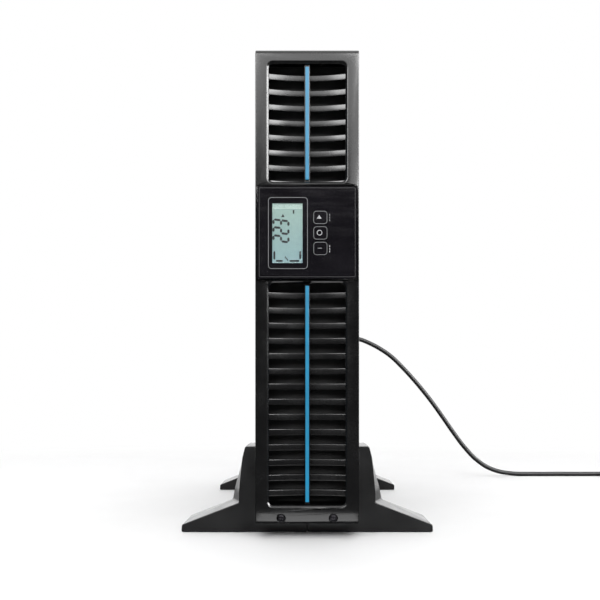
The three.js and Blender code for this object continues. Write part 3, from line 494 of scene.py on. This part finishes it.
LOOKS = {
    "bezel_plastic": moulded("bezel_plastic", NEUTRAL["bezel"], 0.22),
    "grille_plastic": moulded("grille_plastic", NEUTRAL["grille"], 0.25),
    # The accent strips' plastic, with a painted glow.
    "blue_plastic": painted_glow_plastic("blue_plastic", (0.008, 0.27, 0.50, 1)),
    "fascia_gloss": gloss("fascia_gloss", NEUTRAL["fascia"], 0.10),
    "clear_window": clear("clear_window"),
    "lcd": liquid_crystal("lcd"),
    "inner_plastic": moulded("inner_plastic", NEUTRAL["inner"], 0.5),
    "capacitor_sleeve": moulded("capacitor_sleeve", (0.02, 0.05, 0.12, 1), 0.3, grain=2.0),
    "case_steel": powder_coat("case_steel", NEUTRAL["steel"]),
    "zinc_steel": plated("zinc_steel", (0.55, 0.56, 0.57, 1), 0.36, (0.46, 0.48, 0.50, 1)),
    "dark_screw": plated("dark_screw", (0.020, 0.020, 0.022, 1), 0.28, (0.035, 0.033, 0.037, 1)),
    "brass": plated("brass", (0.72, 0.52, 0.22, 1), 0.3, (0.6, 0.42, 0.16, 1)),
    "aluminium": plated("aluminium", (0.66, 0.67, 0.69, 1), 0.34, (0.55, 0.56, 0.58, 1), (1, 12, 1)),
    "winding": wound("winding", (0.55, 0.22, 0.08, 1)),
    "circuit_board": circuit("circuit_board"),
    "battery_case": moulded("battery_case", (0.045, 0.05, 0.057, 1), 0.5, grain=0.7),
    "foot_plastic": moulded("foot_plastic", NEUTRAL["foot"], 0.36),
    "pad_rubber": rubbery("pad_rubber", NEUTRAL["rubber"]),
    "cord_jacket": jacket("cord_jacket", NEUTRAL["cord"]),
}
PALE_INK = ink("pale_ink", (0.40, 0.41, 0.42, 1))
# Dim ink for print, and also the colour of the painted highlight near each button's rim.
DIM_INK_AND_HIGHLIGHT = ink("dim_ink_and_highlight", (0.14, 0.145, 0.15, 1))
# A painted highlight colour, for the pale line inside the fascia's bevel.
BEVEL_HIGHLIGHT_PAINT = ink("bevel_highlight_paint", (0.035, 0.035, 0.036, 1))
DARK_SEGMENTS = ink("dark_segments", (0.003, 0.0035, 0.005, 1), 0.5)

# ---------------------------------------------------------------- the lead, its connector and its plug

CORD_FALL = [
    (18, 273.8, 214), (18.4, 289.5, 213.8), (27, 309.5, 213.2), (49, 322.5, 211.8), (80, 325.5, 207.2),
    (96.4, 325.5, 200.6), (111.9, 325.5, 192.2), (127.3, 325.5, 181.4), (142.8, 325.5, 166.6),
    (158.3, 325.5, 150), (174, 325.5, 131.6), (190, 324.5, 111), (206, 324.5, 88.6), (222, 324.5, 65.6),
    (239, 323.5, 43), (258, 323.5, 23.6), (281, 323.5, 10), (308, 323.5, 4.2), (340, 323.5, 3.3),
    (380, 323.5, 3.3), (420, 323.5, 3.3), (460, 323.5, 3.3),
]


def eased(value, start, end):
    """0 before start, 1 after end, and smooth between."""
    t = min(max((value - start) / (end - start), 0), 1)
    return t * t * (3 - 2 * t)


def coil_point(angle):
    """The lead's middle after it has gone that far round: in, then up onto itself, then out again."""
    turn = 2 * math.pi
    inward = eased(angle, turn - 1.4, turn) - eased(angle, 3 * turn - 4.2, 3 * turn - 2.8)
    up = eased(angle, 2 * turn - 2.8, 2 * turn - 1.4)
    radius = COIL["outer"] + (COIL["inner"] - COIL["outer"]) * inward
    height = COIL["low"] + (COIL["high"] - COIL["low"]) * up
    return COIL["x"] + radius * math.sin(angle), COIL["y"] + radius * math.cos(angle), height


def tail_points():
    """Out of the coil and up to the middle of the plug."""
    start_x, start_y, start_z = coil_point(COIL_TURNS * 2 * math.pi)
    return [
        (start_x, start_y - TAIL_LENGTH * t, start_z + (PLUG_Z - start_z) * eased(t, 0, 1))
        for t in (0.25, 0.5, 0.75, 1.03)
    ]


def cord_route():
    steps = int(COIL_TURNS * COIL_STEPS)
    coil = [coil_point(2 * math.pi * i / COIL_STEPS) for i in range(steps + 1)]
    return CORD_FALL + coil + tail_points()


def tube_data(name, radius):
    """An empty curve that draws its lines as round tubes."""
    data = bpy.data.curves.new(name, "CURVE")
    data.dimensions = "3D"
    data.bevel_depth = radius * MM
    data.bevel_resolution = 4
    data.resolution_u = 6
    data.use_fill_caps = True
    return data


def wire(data, route, cyclic=False):
    """Adds a smooth line through the route's points to a curve."""
    spline = data.splines.new("BEZIER")
    spline.bezier_points.add(len(route) - 1)
    spline.use_cyclic_u = cyclic
    for point, place in zip(spline.bezier_points, route):
        point.co = Vector(place) * MM
        point.handle_left_type = point.handle_right_type = "AUTO"


def tube_along(name, route, radius):
    """A round tube on a smooth line through the route's points."""
    data = tube_data(name, radius)
    wire(data, route)
    return linked(name, data)


def connector_piece():
    """The connector's moulded body, with finger grooves on its grip."""
    x, z = INLET
    sections = [
        (BACK_Y + 2.4, 9.2, 13.2), (BACK_Y + 3.4, 10, 14), (BACK_Y + 9, 10, 14),
        (BACK_Y + 10, 9.4, 13.3), (BACK_Y + 12, 9.2, 13.0), (BACK_Y + 13, 9.7, 13.4),
        (BACK_Y + 14, 9.2, 12.9), (BACK_Y + 16, 9.0, 12.6), (BACK_Y + 17, 9.5, 13.0),
        (BACK_Y + 18, 9.0, 12.5), (BACK_Y + 20, 8.8, 12.0), (BACK_Y + 21, 9.3, 12.4),
        (BACK_Y + 22, 8.8, 11.8), (BACK_Y + 26, 8.0, 10.2), (BACK_Y + 29, 6.8, 7.6),
        (BACK_Y + 30, 5.8, 6.4),
    ]
    bm = bmesh.new()
    skin(bm, [
        [(x + px, y, z + pz) for px, pz in rounded_rectangle(half_x, half_z, 4)]
        for y, half_x, half_z in sections
    ])
    body = meshed("connector_body", bm)
    return finished(body, LOOKS["cord_jacket"], nodes=["line_connector"])


def relief_piece():
    """The ribbed sleeve that keeps the lead from kinking at the connector."""
    start, end, ribs = RELIEF_END - RELIEF_LENGTH, RELIEF_END, 7
    profile = [(5.9, start), (6.4, start + 0.8)]
    for i in range(ribs):
        y = start + 2.5 + i * 3.8
        radius = 6.4 - 2.1 * (y - start) / (end - start)
        profile += [(radius, y), (radius - 1.1, y + 0.5), (radius - 1.2, y + 1.6), (radius - 0.15, y + 2.1)]
    profile += [(4.4, end - 1.2), (4.3, end - 0.4), (3.6, end)]
    bm = bmesh.new()
    lathe(bm, profile, INLET)
    sleeve = meshed("relief_sleeve", bm)
    return finished(sleeve, LOOKS["cord_jacket"], nodes=["strain_relief"])


def plug_piece(x, tail_y):
    """A round plug with a ribbed neck and a gripped body, its pins pointing to the front."""
    def lobes(angle):
        return 1 - 0.035 * (0.5 + 0.5 * math.cos(14 * angle))

    profile = [(3.6, 0), (4.4, 0.6)]
    for i in range(4):
        y, rib, groove = 2 + i * 3, 4.5 + 0.35 * i, 3.9 + 0.3 * i
        profile += [(rib, y), (groove, y + 0.5), (groove, y + 1.3), (rib + 0.1, y + 1.8)]
    profile += [
        (6.2, 15), (8.6, 19), (12.6, 23.5), (15.4, 27), (17.2, 30.5), (17.9, 32.4, lobes), (18, 34, lobes),
        (18, 45, lobes), (17.8, 46.6, lobes), (17.2, 47.4), (17.6, 48), (18, 48.8), (18, 51.4), (17.4, 52),
    ]
    bm = bmesh.new()
    lathe(bm, [(radius, tail_y - y, *shape) for radius, y, *shape in profile], (x, PLUG_Z), 84)
    return finished(meshed("plug_body", bm), LOOKS["cord_jacket"], nodes=["mains_plug"])


def plug_pins(x, tail_y):
    bm = bmesh.new()
    for side in (-9.5, 9.5):
        lathe(bm, [(2.4, tail_y - 51.5), (2.4, tail_y - 69.6), (2.1, tail_y - 70.6), (1.3, tail_y - 71)],
              (x + side, PLUG_Z), 20)
    for side in (-1, 1):
        block(bm, (x - 2.6, tail_y - 51.9, PLUG_Z + side * 16.2 - 0.5),
              (x + 2.6, tail_y - 34, PLUG_Z + side * 16.2 + 0.5))
    return finished(meshed("plug_pins", bm), LOOKS["zinc_steel"])


def coil_tie():
    """A soft band round the coil's turns, on the side away from the unit."""
    middle_x = COIL["x"] + (COIL["inner"] + COIL["outer"]) / 2
    bm = bmesh.new()
    frame_shape(bm, (middle_x, 6.9), (7.0, 6.85), 3.6, 0.35, COIL["y"] - 5, COIL["y"] + 5)
    return finished(meshed("coil_tie", bm), LOOKS["pad_rubber"])


def lead():
    route = cord_route()
    cord = tube_along("mains_lead", route, CORD_RADIUS)
    finished(cord, LOOKS["cord_jacket"], nodes=["cord_run", "cord_coil", "cord_tail"])
    tail_x, tail_y, _ = coil_point(COIL_TURNS * 2 * math.pi)
    plug = plug_piece(tail_x, tail_y - TAIL_LENGTH)
    pieces = [connector_piece(), relief_piece(), plug, plug_pins(tail_x, tail_y - TAIL_LENGTH), coil_tie()]


lead()

# ---------------------------------------------------------------- grilles and bezel


def louvre_front(x):
    """How far behind the bezel's face a louvre's lip is, at that distance from the middle."""
    end, middle = LOUVRE_DEPTHS["end"], LOUVRE_DEPTHS["middle"]
    return FACE_Y + middle + (end - middle) * (x / LOUVRE_HALF_LENGTH) ** 2


def louvre_section(front, top):
    """A louvre cut across: a rounded lip that hangs down from a thin shelf."""
    back = FACE_Y + LOUVRE_DEPTHS["back"]
    thick = LOUVRE_THICKNESS
    bottom = top - LOUVRE_HEIGHT
    return [
        (front + 0.15, top - 0.15), (front + 0.04, top - 0.35), (front, top - 0.6),
        (front, bottom + 0.6), (front + 0.04, bottom + 0.35), (front + 0.15, bottom + 0.15),
        (front + 0.6, bottom), (front + 1.1, bottom), (front + thick - 0.1, bottom + 0.2),
        (front + thick, bottom + 0.6), (front + thick, top - thick - 0.6),
        (front + thick + 0.2, top - thick - 0.2), (front + thick + 0.7, top - thick),
        (back - 0.3, top - thick), (back, top - thick + 0.3), (back, top - 0.3), (back - 0.3, top),
        (front + 0.9, top), (front + 0.6, top), (front + 0.35, top - 0.04),
    ]


def louvres(which):
    """One grille: its curved louvres, two side rails and the rib behind the accent strip."""
    first, count = GRILLES[which]
    low, high = corners(which + "_grille")
    bm = bmesh.new()
    stations = [LOUVRE_HALF_LENGTH * (i / 12 - 1) for i in range(25)]
    for i in range(count):
        top = first - i * LOUVRE_PITCH
        skin(bm, [[(x, y, z) for y, z in louvre_section(louvre_front(x), top)] for x in stations])
    for x0, x1, front in ((low.x, low.x + 3.3, 0), (-2.3, 2.3, 0.5), (high.x - 3.3, high.x, 0)):
        block(bm, (x0, FACE_Y + 3.3 + front, low.z), (x1, high.y, high.z))
    grille = round_edges(meshed(which + "_louvres", bm), 0.35, 2, 60)
    return finished(grille, LOOKS["grille_plastic"], nodes=[which + "_grille"])


def dust_filter_and_shade(which):
    """The dark foam behind a grille, a little smaller than the grille's frame. Its darkness is also painted
    shade, deepening the shade seen between the louvres.
    """
    low, high = corners(which + "_grille")
    bm = bmesh.new()
    block(bm, (low.x + 1, high.y + 0.2, low.z + 1), (high.x - 1, high.y + 1.6, high.z - 1))
    return finished(meshed(which + "_dust_filter_and_shade", bm), LOOKS["pad_rubber"])


def front():
    finished(refined("front_bezel", 0.7, 3), LOOKS["bezel_plastic"], nodes=["front_bezel"])
    for which in GRILLES:
        louvres(which)
        # A dark sheet that also paints the shade behind the louvres.
        dust_filter_and_shade(which)
        strip = which + "_accent_strip"
        finished(refined(strip, 0.35, 3), LOOKS["blue_plastic"], nodes=[strip])
    for side in ("left", "right"):
        screw = "bezel_screw_" + side
        finished(refined(screw, 0.3, 2), LOOKS["dark_screw"], nodes=[screw])


# ---------------------------------------------------------------- display


def print_or_highlight_piece(name, draw, material, body="display_unit"):
    bm = bmesh.new()
    draw(bm)
    return finished(meshed(name, bm), material, body)


LAYER_Y = (FASCIA_Y - LAYER_THICKNESS, FASCIA_Y + 0.02)


OUTLINE = {"low": (-33.0, 231.0), "high": (0.2, 291.45), "radius": 3, "line": 0.55}  # along the line's middle
MARKS_X = 19.1
MARK_HEIGHTS = {"upper": 274.4, "lower": 247.8}


def outline_print(bm):
    """The thin outline round the display."""
    low, high, line = OUTLINE["low"], OUTLINE["high"], OUTLINE["line"]
    centre = [(a + b) / 2 for a, b in zip(low, high)]
    half = [(b - a) / 2 + line / 2 for a, b in zip(low, high)]
    frame_shape(bm, centre, half, OUTLINE["radius"], line, *LAYER_Y)


def painted_bevel_highlight(bm):
    """A painted highlight: a thin pale line just inside the fascia's bevel, where its polished edge would
    catch the light.
    """
    half = (FASCIA_HIGH.x - FASCIA_BEVEL - 0.1, FASCIA_HIGH.z - DISPLAY_Z - FASCIA_BEVEL - 0.1)
    frame_shape(bm, (0, DISPLAY_Z), half, 1, 0.35, *LAYER_Y)


def mark_print(z):
    """Three small bars in a column, in place of a sign beside a button."""
    def draw(bm):
        for i in range(3):
            bar = rounded_rectangle(0.35, 0.8, 0.3, 3)
            slab(bm, bar, *LAYER_Y, centre=(MARKS_X, z + (i - 1) * 2.3))

    return draw


def button_rim_highlight(name):
    """A painted highlight: a pale line near a button's rim, where its edge would catch the light."""
    low, high = corners(name)
    x, z = (low.x + high.x) / 2, (low.z + high.z) / 2
    half = ((high.x - low.x) / 2 - 0.1, (high.z - low.z) / 2 - 0.1)
    return lambda bm: frame_shape(bm, (x, z), half, 2.6, 0.5, *LAYER_Y)


def button_sign(name):
    """A triangle, a ring or a bar."""
    def draw(bm):
        if name == "test_button":
            slab(bm, [(-2.0, -1.55), (2.0, -1.55), (0, 1.55)], *LAYER_Y, centre=(10.2, 275.0))
        elif name == "off_button":
            frame_shape(bm, (10.5, 261.5), (2.35, 2.35), 2.34, 0.6, *LAYER_Y)
        else:
            slab(bm, rounded_rectangle(1.85, 0.4, 0.3, 3), *LAYER_Y, centre=(10.7, 248.3))

    return draw


def prints_and_highlights():
    """The printing on the fascia and on the buttons, and the painted highlight lines inside the fascia's
    bevel and near each button's rim.
    """
    print_or_highlight_piece("outline_print", outline_print, DIM_INK_AND_HIGHLIGHT)
    # The line inside the fascia's bevel is a painted highlight, not print.
    print_or_highlight_piece("painted_bevel_highlight", painted_bevel_highlight, BEVEL_HIGHLIGHT_PAINT)
    for place, ink_used in (("upper", DIM_INK_AND_HIGHLIGHT), ("lower", PALE_INK)):
        print_or_highlight_piece(place + "_marks", mark_print(MARK_HEIGHTS[place]), ink_used)
    for name in BUTTONS:
        sign_ink = DIM_INK_AND_HIGHLIGHT if name == "on_button" else PALE_INK
        # The line near each button's rim is a painted highlight; the sign is print.
        print_or_highlight_piece(name + "_outline", button_rim_highlight(name), DIM_INK_AND_HIGHLIGHT, name)
        print_or_highlight_piece(name + "_sign", button_sign(name), sign_ink, name)


SEGMENT_DEPTH = (LCD_Y - 0.08, LCD_Y + 0.02)
DIGIT_LINES = {"top": -28.7, "middle": -22.3, "bottom": -16}  # the digits lie on their side, so these are X
DIGIT_HALF_WIDTH = 2.2
DIGIT_SLANT = 0.12
SEGMENTS_OF = {
    "2": ("top", "upper right", "middle", "lower left", "bottom"),
    "3": ("top", "upper right", "middle", "lower right", "bottom"),
}


def segment(bm, start, end, width=1.9):
    """One bar of a digit, with pointed ends."""
    (x0, z0), (x1, z1) = start, end
    along = Vector((x1 - x0, z1 - z0)).normalized()
    across = Vector((-along.y, along.x)) * width / 2
    first, last = Vector(start) + along * 0.25, Vector(end) - along * 0.25
    tip = along * width / 2
    one_side = [first, first + tip + across, last - tip + across]
    other_side = [last, last - tip - across, first + tip - across]
    slab(bm, one_side + other_side, *SEGMENT_DEPTH)


def digit(bm, sign, z):
    """A digit that lies on its side, its middle at that height."""
    def corner(line, side):
        x = DIGIT_LINES[line]
        return x, z + side * DIGIT_HALF_WIDTH - DIGIT_SLANT * (x - DIGIT_LINES["middle"])

    places = {
        "top": (("top", -1), ("top", 1)),
        "middle": (("middle", -1), ("middle", 1)),
        "bottom": (("bottom", -1), ("bottom", 1)),
        "upper right": (("top", 1), ("middle", 1)),
        "lower right": (("middle", 1), ("bottom", 1)),
        "lower left": (("middle", -1), ("bottom", -1)),
    }
    for part in SEGMENTS_OF[sign]:
        start, end = places[part]
        segment(bm, corner(*start), corner(*end))


DIGITS = (("2", 256.6), ("2", 263.5), ("3", 270.1))
BAR_WIDTH = 1.6
BARS = [
    ((-28.0, 238.4), (-28.0, 246.5)), ((-27.2, 237.7), (-20.3, 237.7)),
    ((-15.6, 237.7), (-6.2, 237.7)), ((-5.9, 238.8), (-5.9, 246.5)),
]


def lcd_signs(bm):
    """Three digits, an arrow head, a mark, and the bars round the display's lower end."""
    for sign, z in DIGITS:
        digit(bm, sign, z)
    for start, end in BARS:
        segment(bm, start, end, BAR_WIDTH)
    slab(bm, [(-22.2, 275.0), (-19.3, 275.0), (-20.75, 277.9)], *SEGMENT_DEPTH)
    slab(bm, rounded_rectangle(0.6, 1.6, 0.3, 3), *SEGMENT_DEPTH, centre=(-11.6, 279.5))
    for x, z in ((-18.7, 240.7), (-17.7, 239.7), (-16.7, 238.7)):
        segment(bm, (x, z - 1.3), (x, z + 1.3), 0.7)


def fascia_piece():
    """The fascia with a bevel round its front face."""
    bm = bmesh.new()
    bm.from_mesh(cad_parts["display_fascia"].data)
    bmesh.ops.remove_doubles(bm, verts=bm.verts, dist=1e-6)
    reach_x, reach_z = FASCIA_HIGH.x - 5, FASCIA_HIGH.z - DISPLAY_Z - 5

    def on_rim(vertex):
        x, y, z = vertex.co / MM
        outer = abs(x) > reach_x or abs(z - DISPLAY_Z) > reach_z
        return outer and y < FASCIA_Y + 0.01

    weight = bm.edges.layers.float.new("bevel_weight_edge")
    for edge in bm.edges:
        edge[weight] = float(all(on_rim(vertex) for vertex in edge.verts))
    fascia = meshed("display_fascia_bevelled", bm, 1)
    bevel = fascia.modifiers.new("bevelled rim", "BEVEL")
    bevel.limit_method = "WEIGHT"
    bevel.width = FASCIA_BEVEL * MM
    bevel.segments = 1
    for polygon in fascia.data.polygons:
        polygon.use_smooth = False
    return fascia


def display():
    finished(fascia_piece(), LOOKS["fascia_gloss"], "display_unit", ["display_fascia"])
    finished(refined("display_window", 0.2, 2), LOOKS["clear_window"],
             "display_unit", ["display_window"])
    finished(refined("display_drum", 0.4, 2), LOOKS["inner_plastic"],
             "display_unit", ["display_drum"])
    prints_and_highlights()
    print_or_highlight_piece("lcd_signs", lcd_signs, DARK_SEGMENTS)
    for name in BUTTONS:
        finished(refined(name, 0.35, 3), LOOKS["fascia_gloss"], name, [name])


# ---------------------------------------------------------------- the rest of the CAD nodes

ROUNDED = {
    # node: (slot, rounding in millimetres)
    "chassis_tray": ("case_steel", 0.4),
    "chassis_cover": ("case_steel", 0.4),
    "front_plate": ("case_steel", 0.3),
    "rear_panel": ("case_steel", 0.3),
    "battery_door": ("case_steel", 0.3),
    "slot_cover": ("case_steel", 0.4),
    "divider": ("zinc_steel", 0.3),
    "battery_tray": ("zinc_steel", 0.3),
    "battery_1": ("battery_case", 0.8),
    "battery_2": ("battery_case", 0.8),
    "battery_3": ("battery_case", 0.8),
    "battery_4": ("battery_case", 0.8),
    "transformer": ("winding", 0.6),
    "heatsink_upper": ("aluminium", 0.3),
    "heatsink_lower": ("aluminium", 0.3),
    "capacitor_1": ("capacitor_sleeve", 1.2),
    "capacitor_2": ("capacitor_sleeve", 1.2),
    "fan_frame": ("inner_plastic", 0.4),
    "outlet_block_left": ("inner_plastic", 0.4),
    "outlet_block_right": ("inner_plastic", 0.4),
    "mains_inlet": ("inner_plastic", 0.3),
    "breaker_body": ("inner_plastic", 0.3),
    "port_block": ("zinc_steel", 0.25),
    "network_jack_1": ("zinc_steel", 0.25),
    "network_jack_2": ("zinc_steel", 0.25),
    "earth_screw": ("brass", 0.3),
}
KEPT = {
    "lcd_module": "lcd",
    "display_board": "circuit_board",
    "main_board": "circuit_board",
    "inductor": "winding",
    "breaker_button": "inner_plastic",
}


def softened(outline, reach):
    """The outline with each corner rounded over, starting that far from it."""
    points = []
    for i, corner in enumerate(outline):
        before, after = outline[i - 1] - corner, outline[(i + 1) % len(outline)] - corner
        start = before * min(reach / before.length, 0.45)
        end = after * min(reach / after.length, 0.45)
        points += [corner + start * (1 - t) ** 2 + end * t ** 2 for t in (0, 1 / 3, 2 / 3, 1)]
    return points


def inset(outline, amount):
    """The outline moved inward, for one that runs anticlockwise."""
    drawn_in = []
    for i, corner in enumerate(outline):
        first = (corner - outline[i - 1]).normalized()
        second = (outline[(i + 1) % len(outline)] - corner).normalized()
        inward = Vector((-first.y - second.y, first.x + second.x)) / (1 + first.dot(second))
        drawn_in.append(corner + inward * amount)
    return drawn_in


def stand_stations():
    """The depths where a stand is cut across, each with the amount its outline is drawn in."""
    middle = STAND_DEPTH / 2
    ridge = [(middle + offset, 0) for offset in (-1.2, -0.4, 0.4, 1.2)]
    back = [(STAND_DEPTH - y, amount) for y, amount in reversed(STAND_ROUNDING)]
    return STAND_ROUNDING + ridge + back


def foot_piece(place, side):
    """One half of a stand: an upright and a toe, drawn out to a ridge between its two faces."""
    node = f"{place}_{side}_foot"
    front_y = corners(node)[0].y
    face = [Vector(point) for point in STAND_UNDERSIDE + FACE_CONTOUR + STAND_SEAT]
    ridge = [Vector(point) for point in STAND_UNDERSIDE + RIDGE_CONTOUR + STAND_SEAT]
    sign = 1 if side == "right" else -1
    middle = STAND_DEPTH / 2
    rings = []
    for y, amount in stand_stations():
        share = 1 - max(abs(y - middle) - 0.5, 0) / (middle - 0.5)
        outline = [a.lerp(b, share) for a, b in zip(face, ridge)]
        ring = softened(inset(outline, amount), STAND_CORNER)
        rings.append([(sign * point.x, front_y + y, point.y) for point in ring])
    bm = bmesh.new()
    skin(bm, rings)
    foot = meshed(node + "_moulded", bm)
    foot.modifiers.new("flat large faces", "WEIGHTED_NORMAL").keep_sharp = True
    return finished(foot, LOOKS["foot_plastic"], nodes=[node])


def screw_head(bm, place, radius=3.0, height=1.1, sideways=False):
    """A domed head with a round recess. It faces back, or to the left when sideways."""
    before = set(bm.verts)
    profile = [(radius, 0), (radius, height * 0.35), (radius * 0.8, height * 0.8), (radius * 0.45, height)]
    lathe(bm, profile + [(radius * 0.4, height * 0.45), (radius * 0.1, height * 0.4)], count=20)
    drawn = [vertex for vertex in bm.verts if vertex not in before]
    turn = Matrix.Rotation(math.radians(90 if sideways else 0), 4, "Z")
    bmesh.ops.transform(bm, matrix=Matrix.Translation(place) @ turn, verts=drawn)


def case_screws():
    """The screws that hold the cover and the rear panel."""
    cover, panel = corners("chassis_cover"), corners("rear_panel")
    bm = bmesh.new()
    for y in COVER_SCREWS["y"]:
        for z in COVER_SCREWS["z"]:
            screw_head(bm, (cover[0].x, y, z), sideways=True)
    for x in (-PANEL_SCREW_X, PANEL_SCREW_X):
        for z in (panel[0].z + 7, *PANEL_SCREW_HEIGHTS, panel[1].z - 7):
            screw_head(bm, (x, panel[1].y, z))
    finished(meshed("case_screws", bm), LOOKS["dark_screw"])


def thumb_screws():
    """The two knurled screws that hold the card slot's cover."""
    low, high = corners("slot_cover")

    def knurled(angle):
        return 1 - 0.05 * (0.5 + 0.5 * math.cos(18 * angle))

    bm = bmesh.new()
    for x in (low.x + 5, high.x - 5):
        profile = [(2.6, high.y), (2.6, high.y + 1), (4, high.y + 1.2, knurled), (4, high.y + 4.6, knurled),
                   (3.5, high.y + 5.2), (0.6, high.y + 5.3)]
        lathe(bm, profile, (x, (low.z + high.z) / 2), 72)
    finished(meshed("thumb_screws", bm), LOOKS["zinc_steel"])


def fan_guard():
    """Four wire rings on two crossed wires."""
    low, high = corners("fan_guard")
    y, z = (low.y + high.y) / 2, (low.z + high.z) / 2
    data = tube_data("fan_guard_wires", GUARD_WIRE)
    for radius in (9, 18, 27, 36):
        wire(data, [(x, y + 0.3, z + up) for x, up in circle(radius, 24)], cyclic=True)
    reach = high.x - GUARD_WIRE
    for side in (-1, 1):
        wire(data, [(-reach, y - 0.5, z - side * reach), (reach, y - 0.5, z + side * reach)])
    guard = linked("fan_guard_wires", data)
    finished(guard, LOOKS["zinc_steel"], nodes=["fan_guard"])


def fan_blades():
    """The fan's hub with seven swept and twisted blades."""
    low, high = corners("fan_rotor")
    x, z = (low.x + high.x) / 2, (low.z + high.z) / 2
    reach = (high.x - low.x) / 2
    hub = [(16, low.y + 1), (17, low.y + 2), (17, high.y - 1.5), (16, high.y - 0.4), (0.5, high.y)]
    bm = bmesh.new()
    lathe(bm, hub, (x, z), 40)
    for blade in range(BLADES):
        rings = []
        for step in range(BLADE_STEPS + 1):
            radius = BLADE_ROOT + (reach - BLADE_ROOT) * step / BLADE_STEPS
            lean = 2 * math.pi * blade / BLADES + 0.10 * step
            half_arc = (0.42 - 0.03 * step) * BLADE_ROOT / radius * 1.35
            front, back = low.y + 3 + 0.5 * step, high.y - 3 - 0.5 * step
            ring = [
                (lean - half_arc, front), (lean + half_arc, back),
                (lean + half_arc, back + BLADE_THICKNESS), (lean - half_arc, front + BLADE_THICKNESS),
            ]
            rings.append([(x + radius * math.cos(a), y, z + radius * math.sin(a)) for a, y in ring])
        skin(bm, rings)
    blades = meshed("fan_blades", bm)
    finished(blades, LOOKS["inner_plastic"], "fan_rotor", ["fan_rotor"])


def rest():
    for node, (slot, width) in ROUNDED.items():
        finished(refined(node, width), LOOKS[slot], nodes=[node])
    for node, slot in KEPT.items():
        node_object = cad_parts[node]
        node_object.data.materials.clear()
        node_object.data.materials.append(LOOKS[slot])
    for place in ("front", "rear"):
        for side in ("left", "right"):
            foot_piece(place, side)
            pad = f"{place}_{side}_pad"
            finished(refined(pad, 0.5, 2), LOOKS["pad_rubber"], nodes=[pad])


front()
display()
rest()
case_screws()
thumb_screws()
fan_guard()
fan_blades()

# ---------------------------------------------------------------- floor, backdrop and lights

FLOOR_RADIUS = 12.0
WHITE_FROM, WHITE_BY = 0.45, 1.1  # where the floor turns from lit paper into pure white, in metres


def floor_material():
    look = Look("floor_paper", {"Roughness": 0.6, "Specular IOR Level": 0.1})
    look.colour(look.mix(look.spread(look.noise(120, 3), 0, 1), (0.88, 0.88, 0.88, 1), (0.9, 0.9, 0.9, 1)))
    look.bump(look.noise(0.8, 3), 0.01)
    flat = look.node("VectorMath", {0: look.place, 1: (1, 1, 0)}, operation="MULTIPLY")
    distance = look.node("VectorMath", {0: flat}, output="Value", operation="LENGTH")
    far = look.node("MapRange", {"Value": distance, "From Min": WHITE_FROM, "From Max": WHITE_BY},
                    interpolation_type="SMOOTHSTEP")
    light = look.node("Emission", {"Color": (1, 1, 1, 1), "Strength": 1.0})
    mixed = look.node("MixShader", {0: far, 1: look.shader.outputs[0], 2: light})
    output = look.nodes["Material Output"]
    look.feed(output.inputs["Surface"], mixed)
    return look.material


def floor():
    bm = bmesh.new()
    bmesh.ops.create_circle(bm, cap_ends=True, segments=96, radius=FLOOR_RADIUS)
    mesh = bpy.data.meshes.new("floor")
    bm.to_mesh(mesh)
    bm.free()
    mesh.materials.append(floor_material())
    made = linked("floor", mesh)
    made.visible_glossy = False  # black plastic would mirror it


def softbox(name, place, target, size, power, diffuse=True, glossy=True):
    data = bpy.data.lights.new(name, "AREA")
    data.shape = "RECTANGLE"
    data.size, data.size_y = size
    data.energy = power
    light = linked(name, data)
    light.location = place
    direction = Vector(target) - Vector(place)
    light.rotation_euler = direction.to_track_quat("-Z", "Y").to_euler()
    light.visible_camera = False
    light.visible_diffuse = diffuse
    light.visible_glossy = glossy
    return light


def lights():
    """Soft light from above, and panels that only show as reflections in the black plastic."""
    softbox("top_softbox", (0, 0.2, 1.7), (0, 0.1, 0), (2.4, 2.4), 36)
    softbox("front_fill", (0, -2.3, 1.5), (0, -0.3, 0), (3.4, 1.6), 66, glossy=False)
    softbox("high_front_softbox", (0, -2.0, 1.35), (0, -0.2, 0.35), (2.0, 0.9), 20, diffuse=False)
    softbox("left_softbox", (-0.96, -1.5, 1.22), (0, -0.2, 0.35), (0.9, 0.95), 34, diffuse=False)
    softbox("right_softbox", (0.96, -1.5, 1.22), (0, -0.2, 0.35), (0.9, 0.95), 44, diffuse=False)
    softbox("side_softbox", (1.6, -0.35, 0.95), (0, -0.2, 0.35), (0.8, 1.1), 75, diffuse=False)
    softbox("rear_softbox", (0, 2.5, 1.0), (0, 0, 0.4), (5, 2.4), 82, diffuse=False)
    softbox("low_reflector", (0, FACE_Y * MM - 0.025, 0.002), (0, FACE_Y * MM - 0.025, 1), (0.09, 0.05), 0.04,
            diffuse=False)


def backdrop():
    """Pure white wherever the camera looks past the object, and a dim room in everything's reflections."""
    world = bpy.data.worlds.new("studio")
    bpy.context.scene.world = world
    world.use_nodes = True
    nodes, links = world.node_tree.nodes, world.node_tree.links
    seen = nodes["Background"]
    seen.inputs["Color"].default_value = (1, 1, 1, 1)
    room = nodes.new("ShaderNodeBackground")
    room.inputs["Color"].default_value = (0.05, 0.05, 0.053, 1)
    rays = nodes.new("ShaderNodeLightPath")
    mix = nodes.new("ShaderNodeMixShader")
    links.new(rays.outputs["Is Camera Ray"], mix.inputs[0])
    links.new(room.outputs[0], mix.inputs[1])
    links.new(seen.outputs[0], mix.inputs[2])
    links.new(mix.outputs[0], nodes["World Output"].inputs["Surface"])
    bpy.context.scene.view_settings.view_transform = "Standard"


floor()
lights()
backdrop()
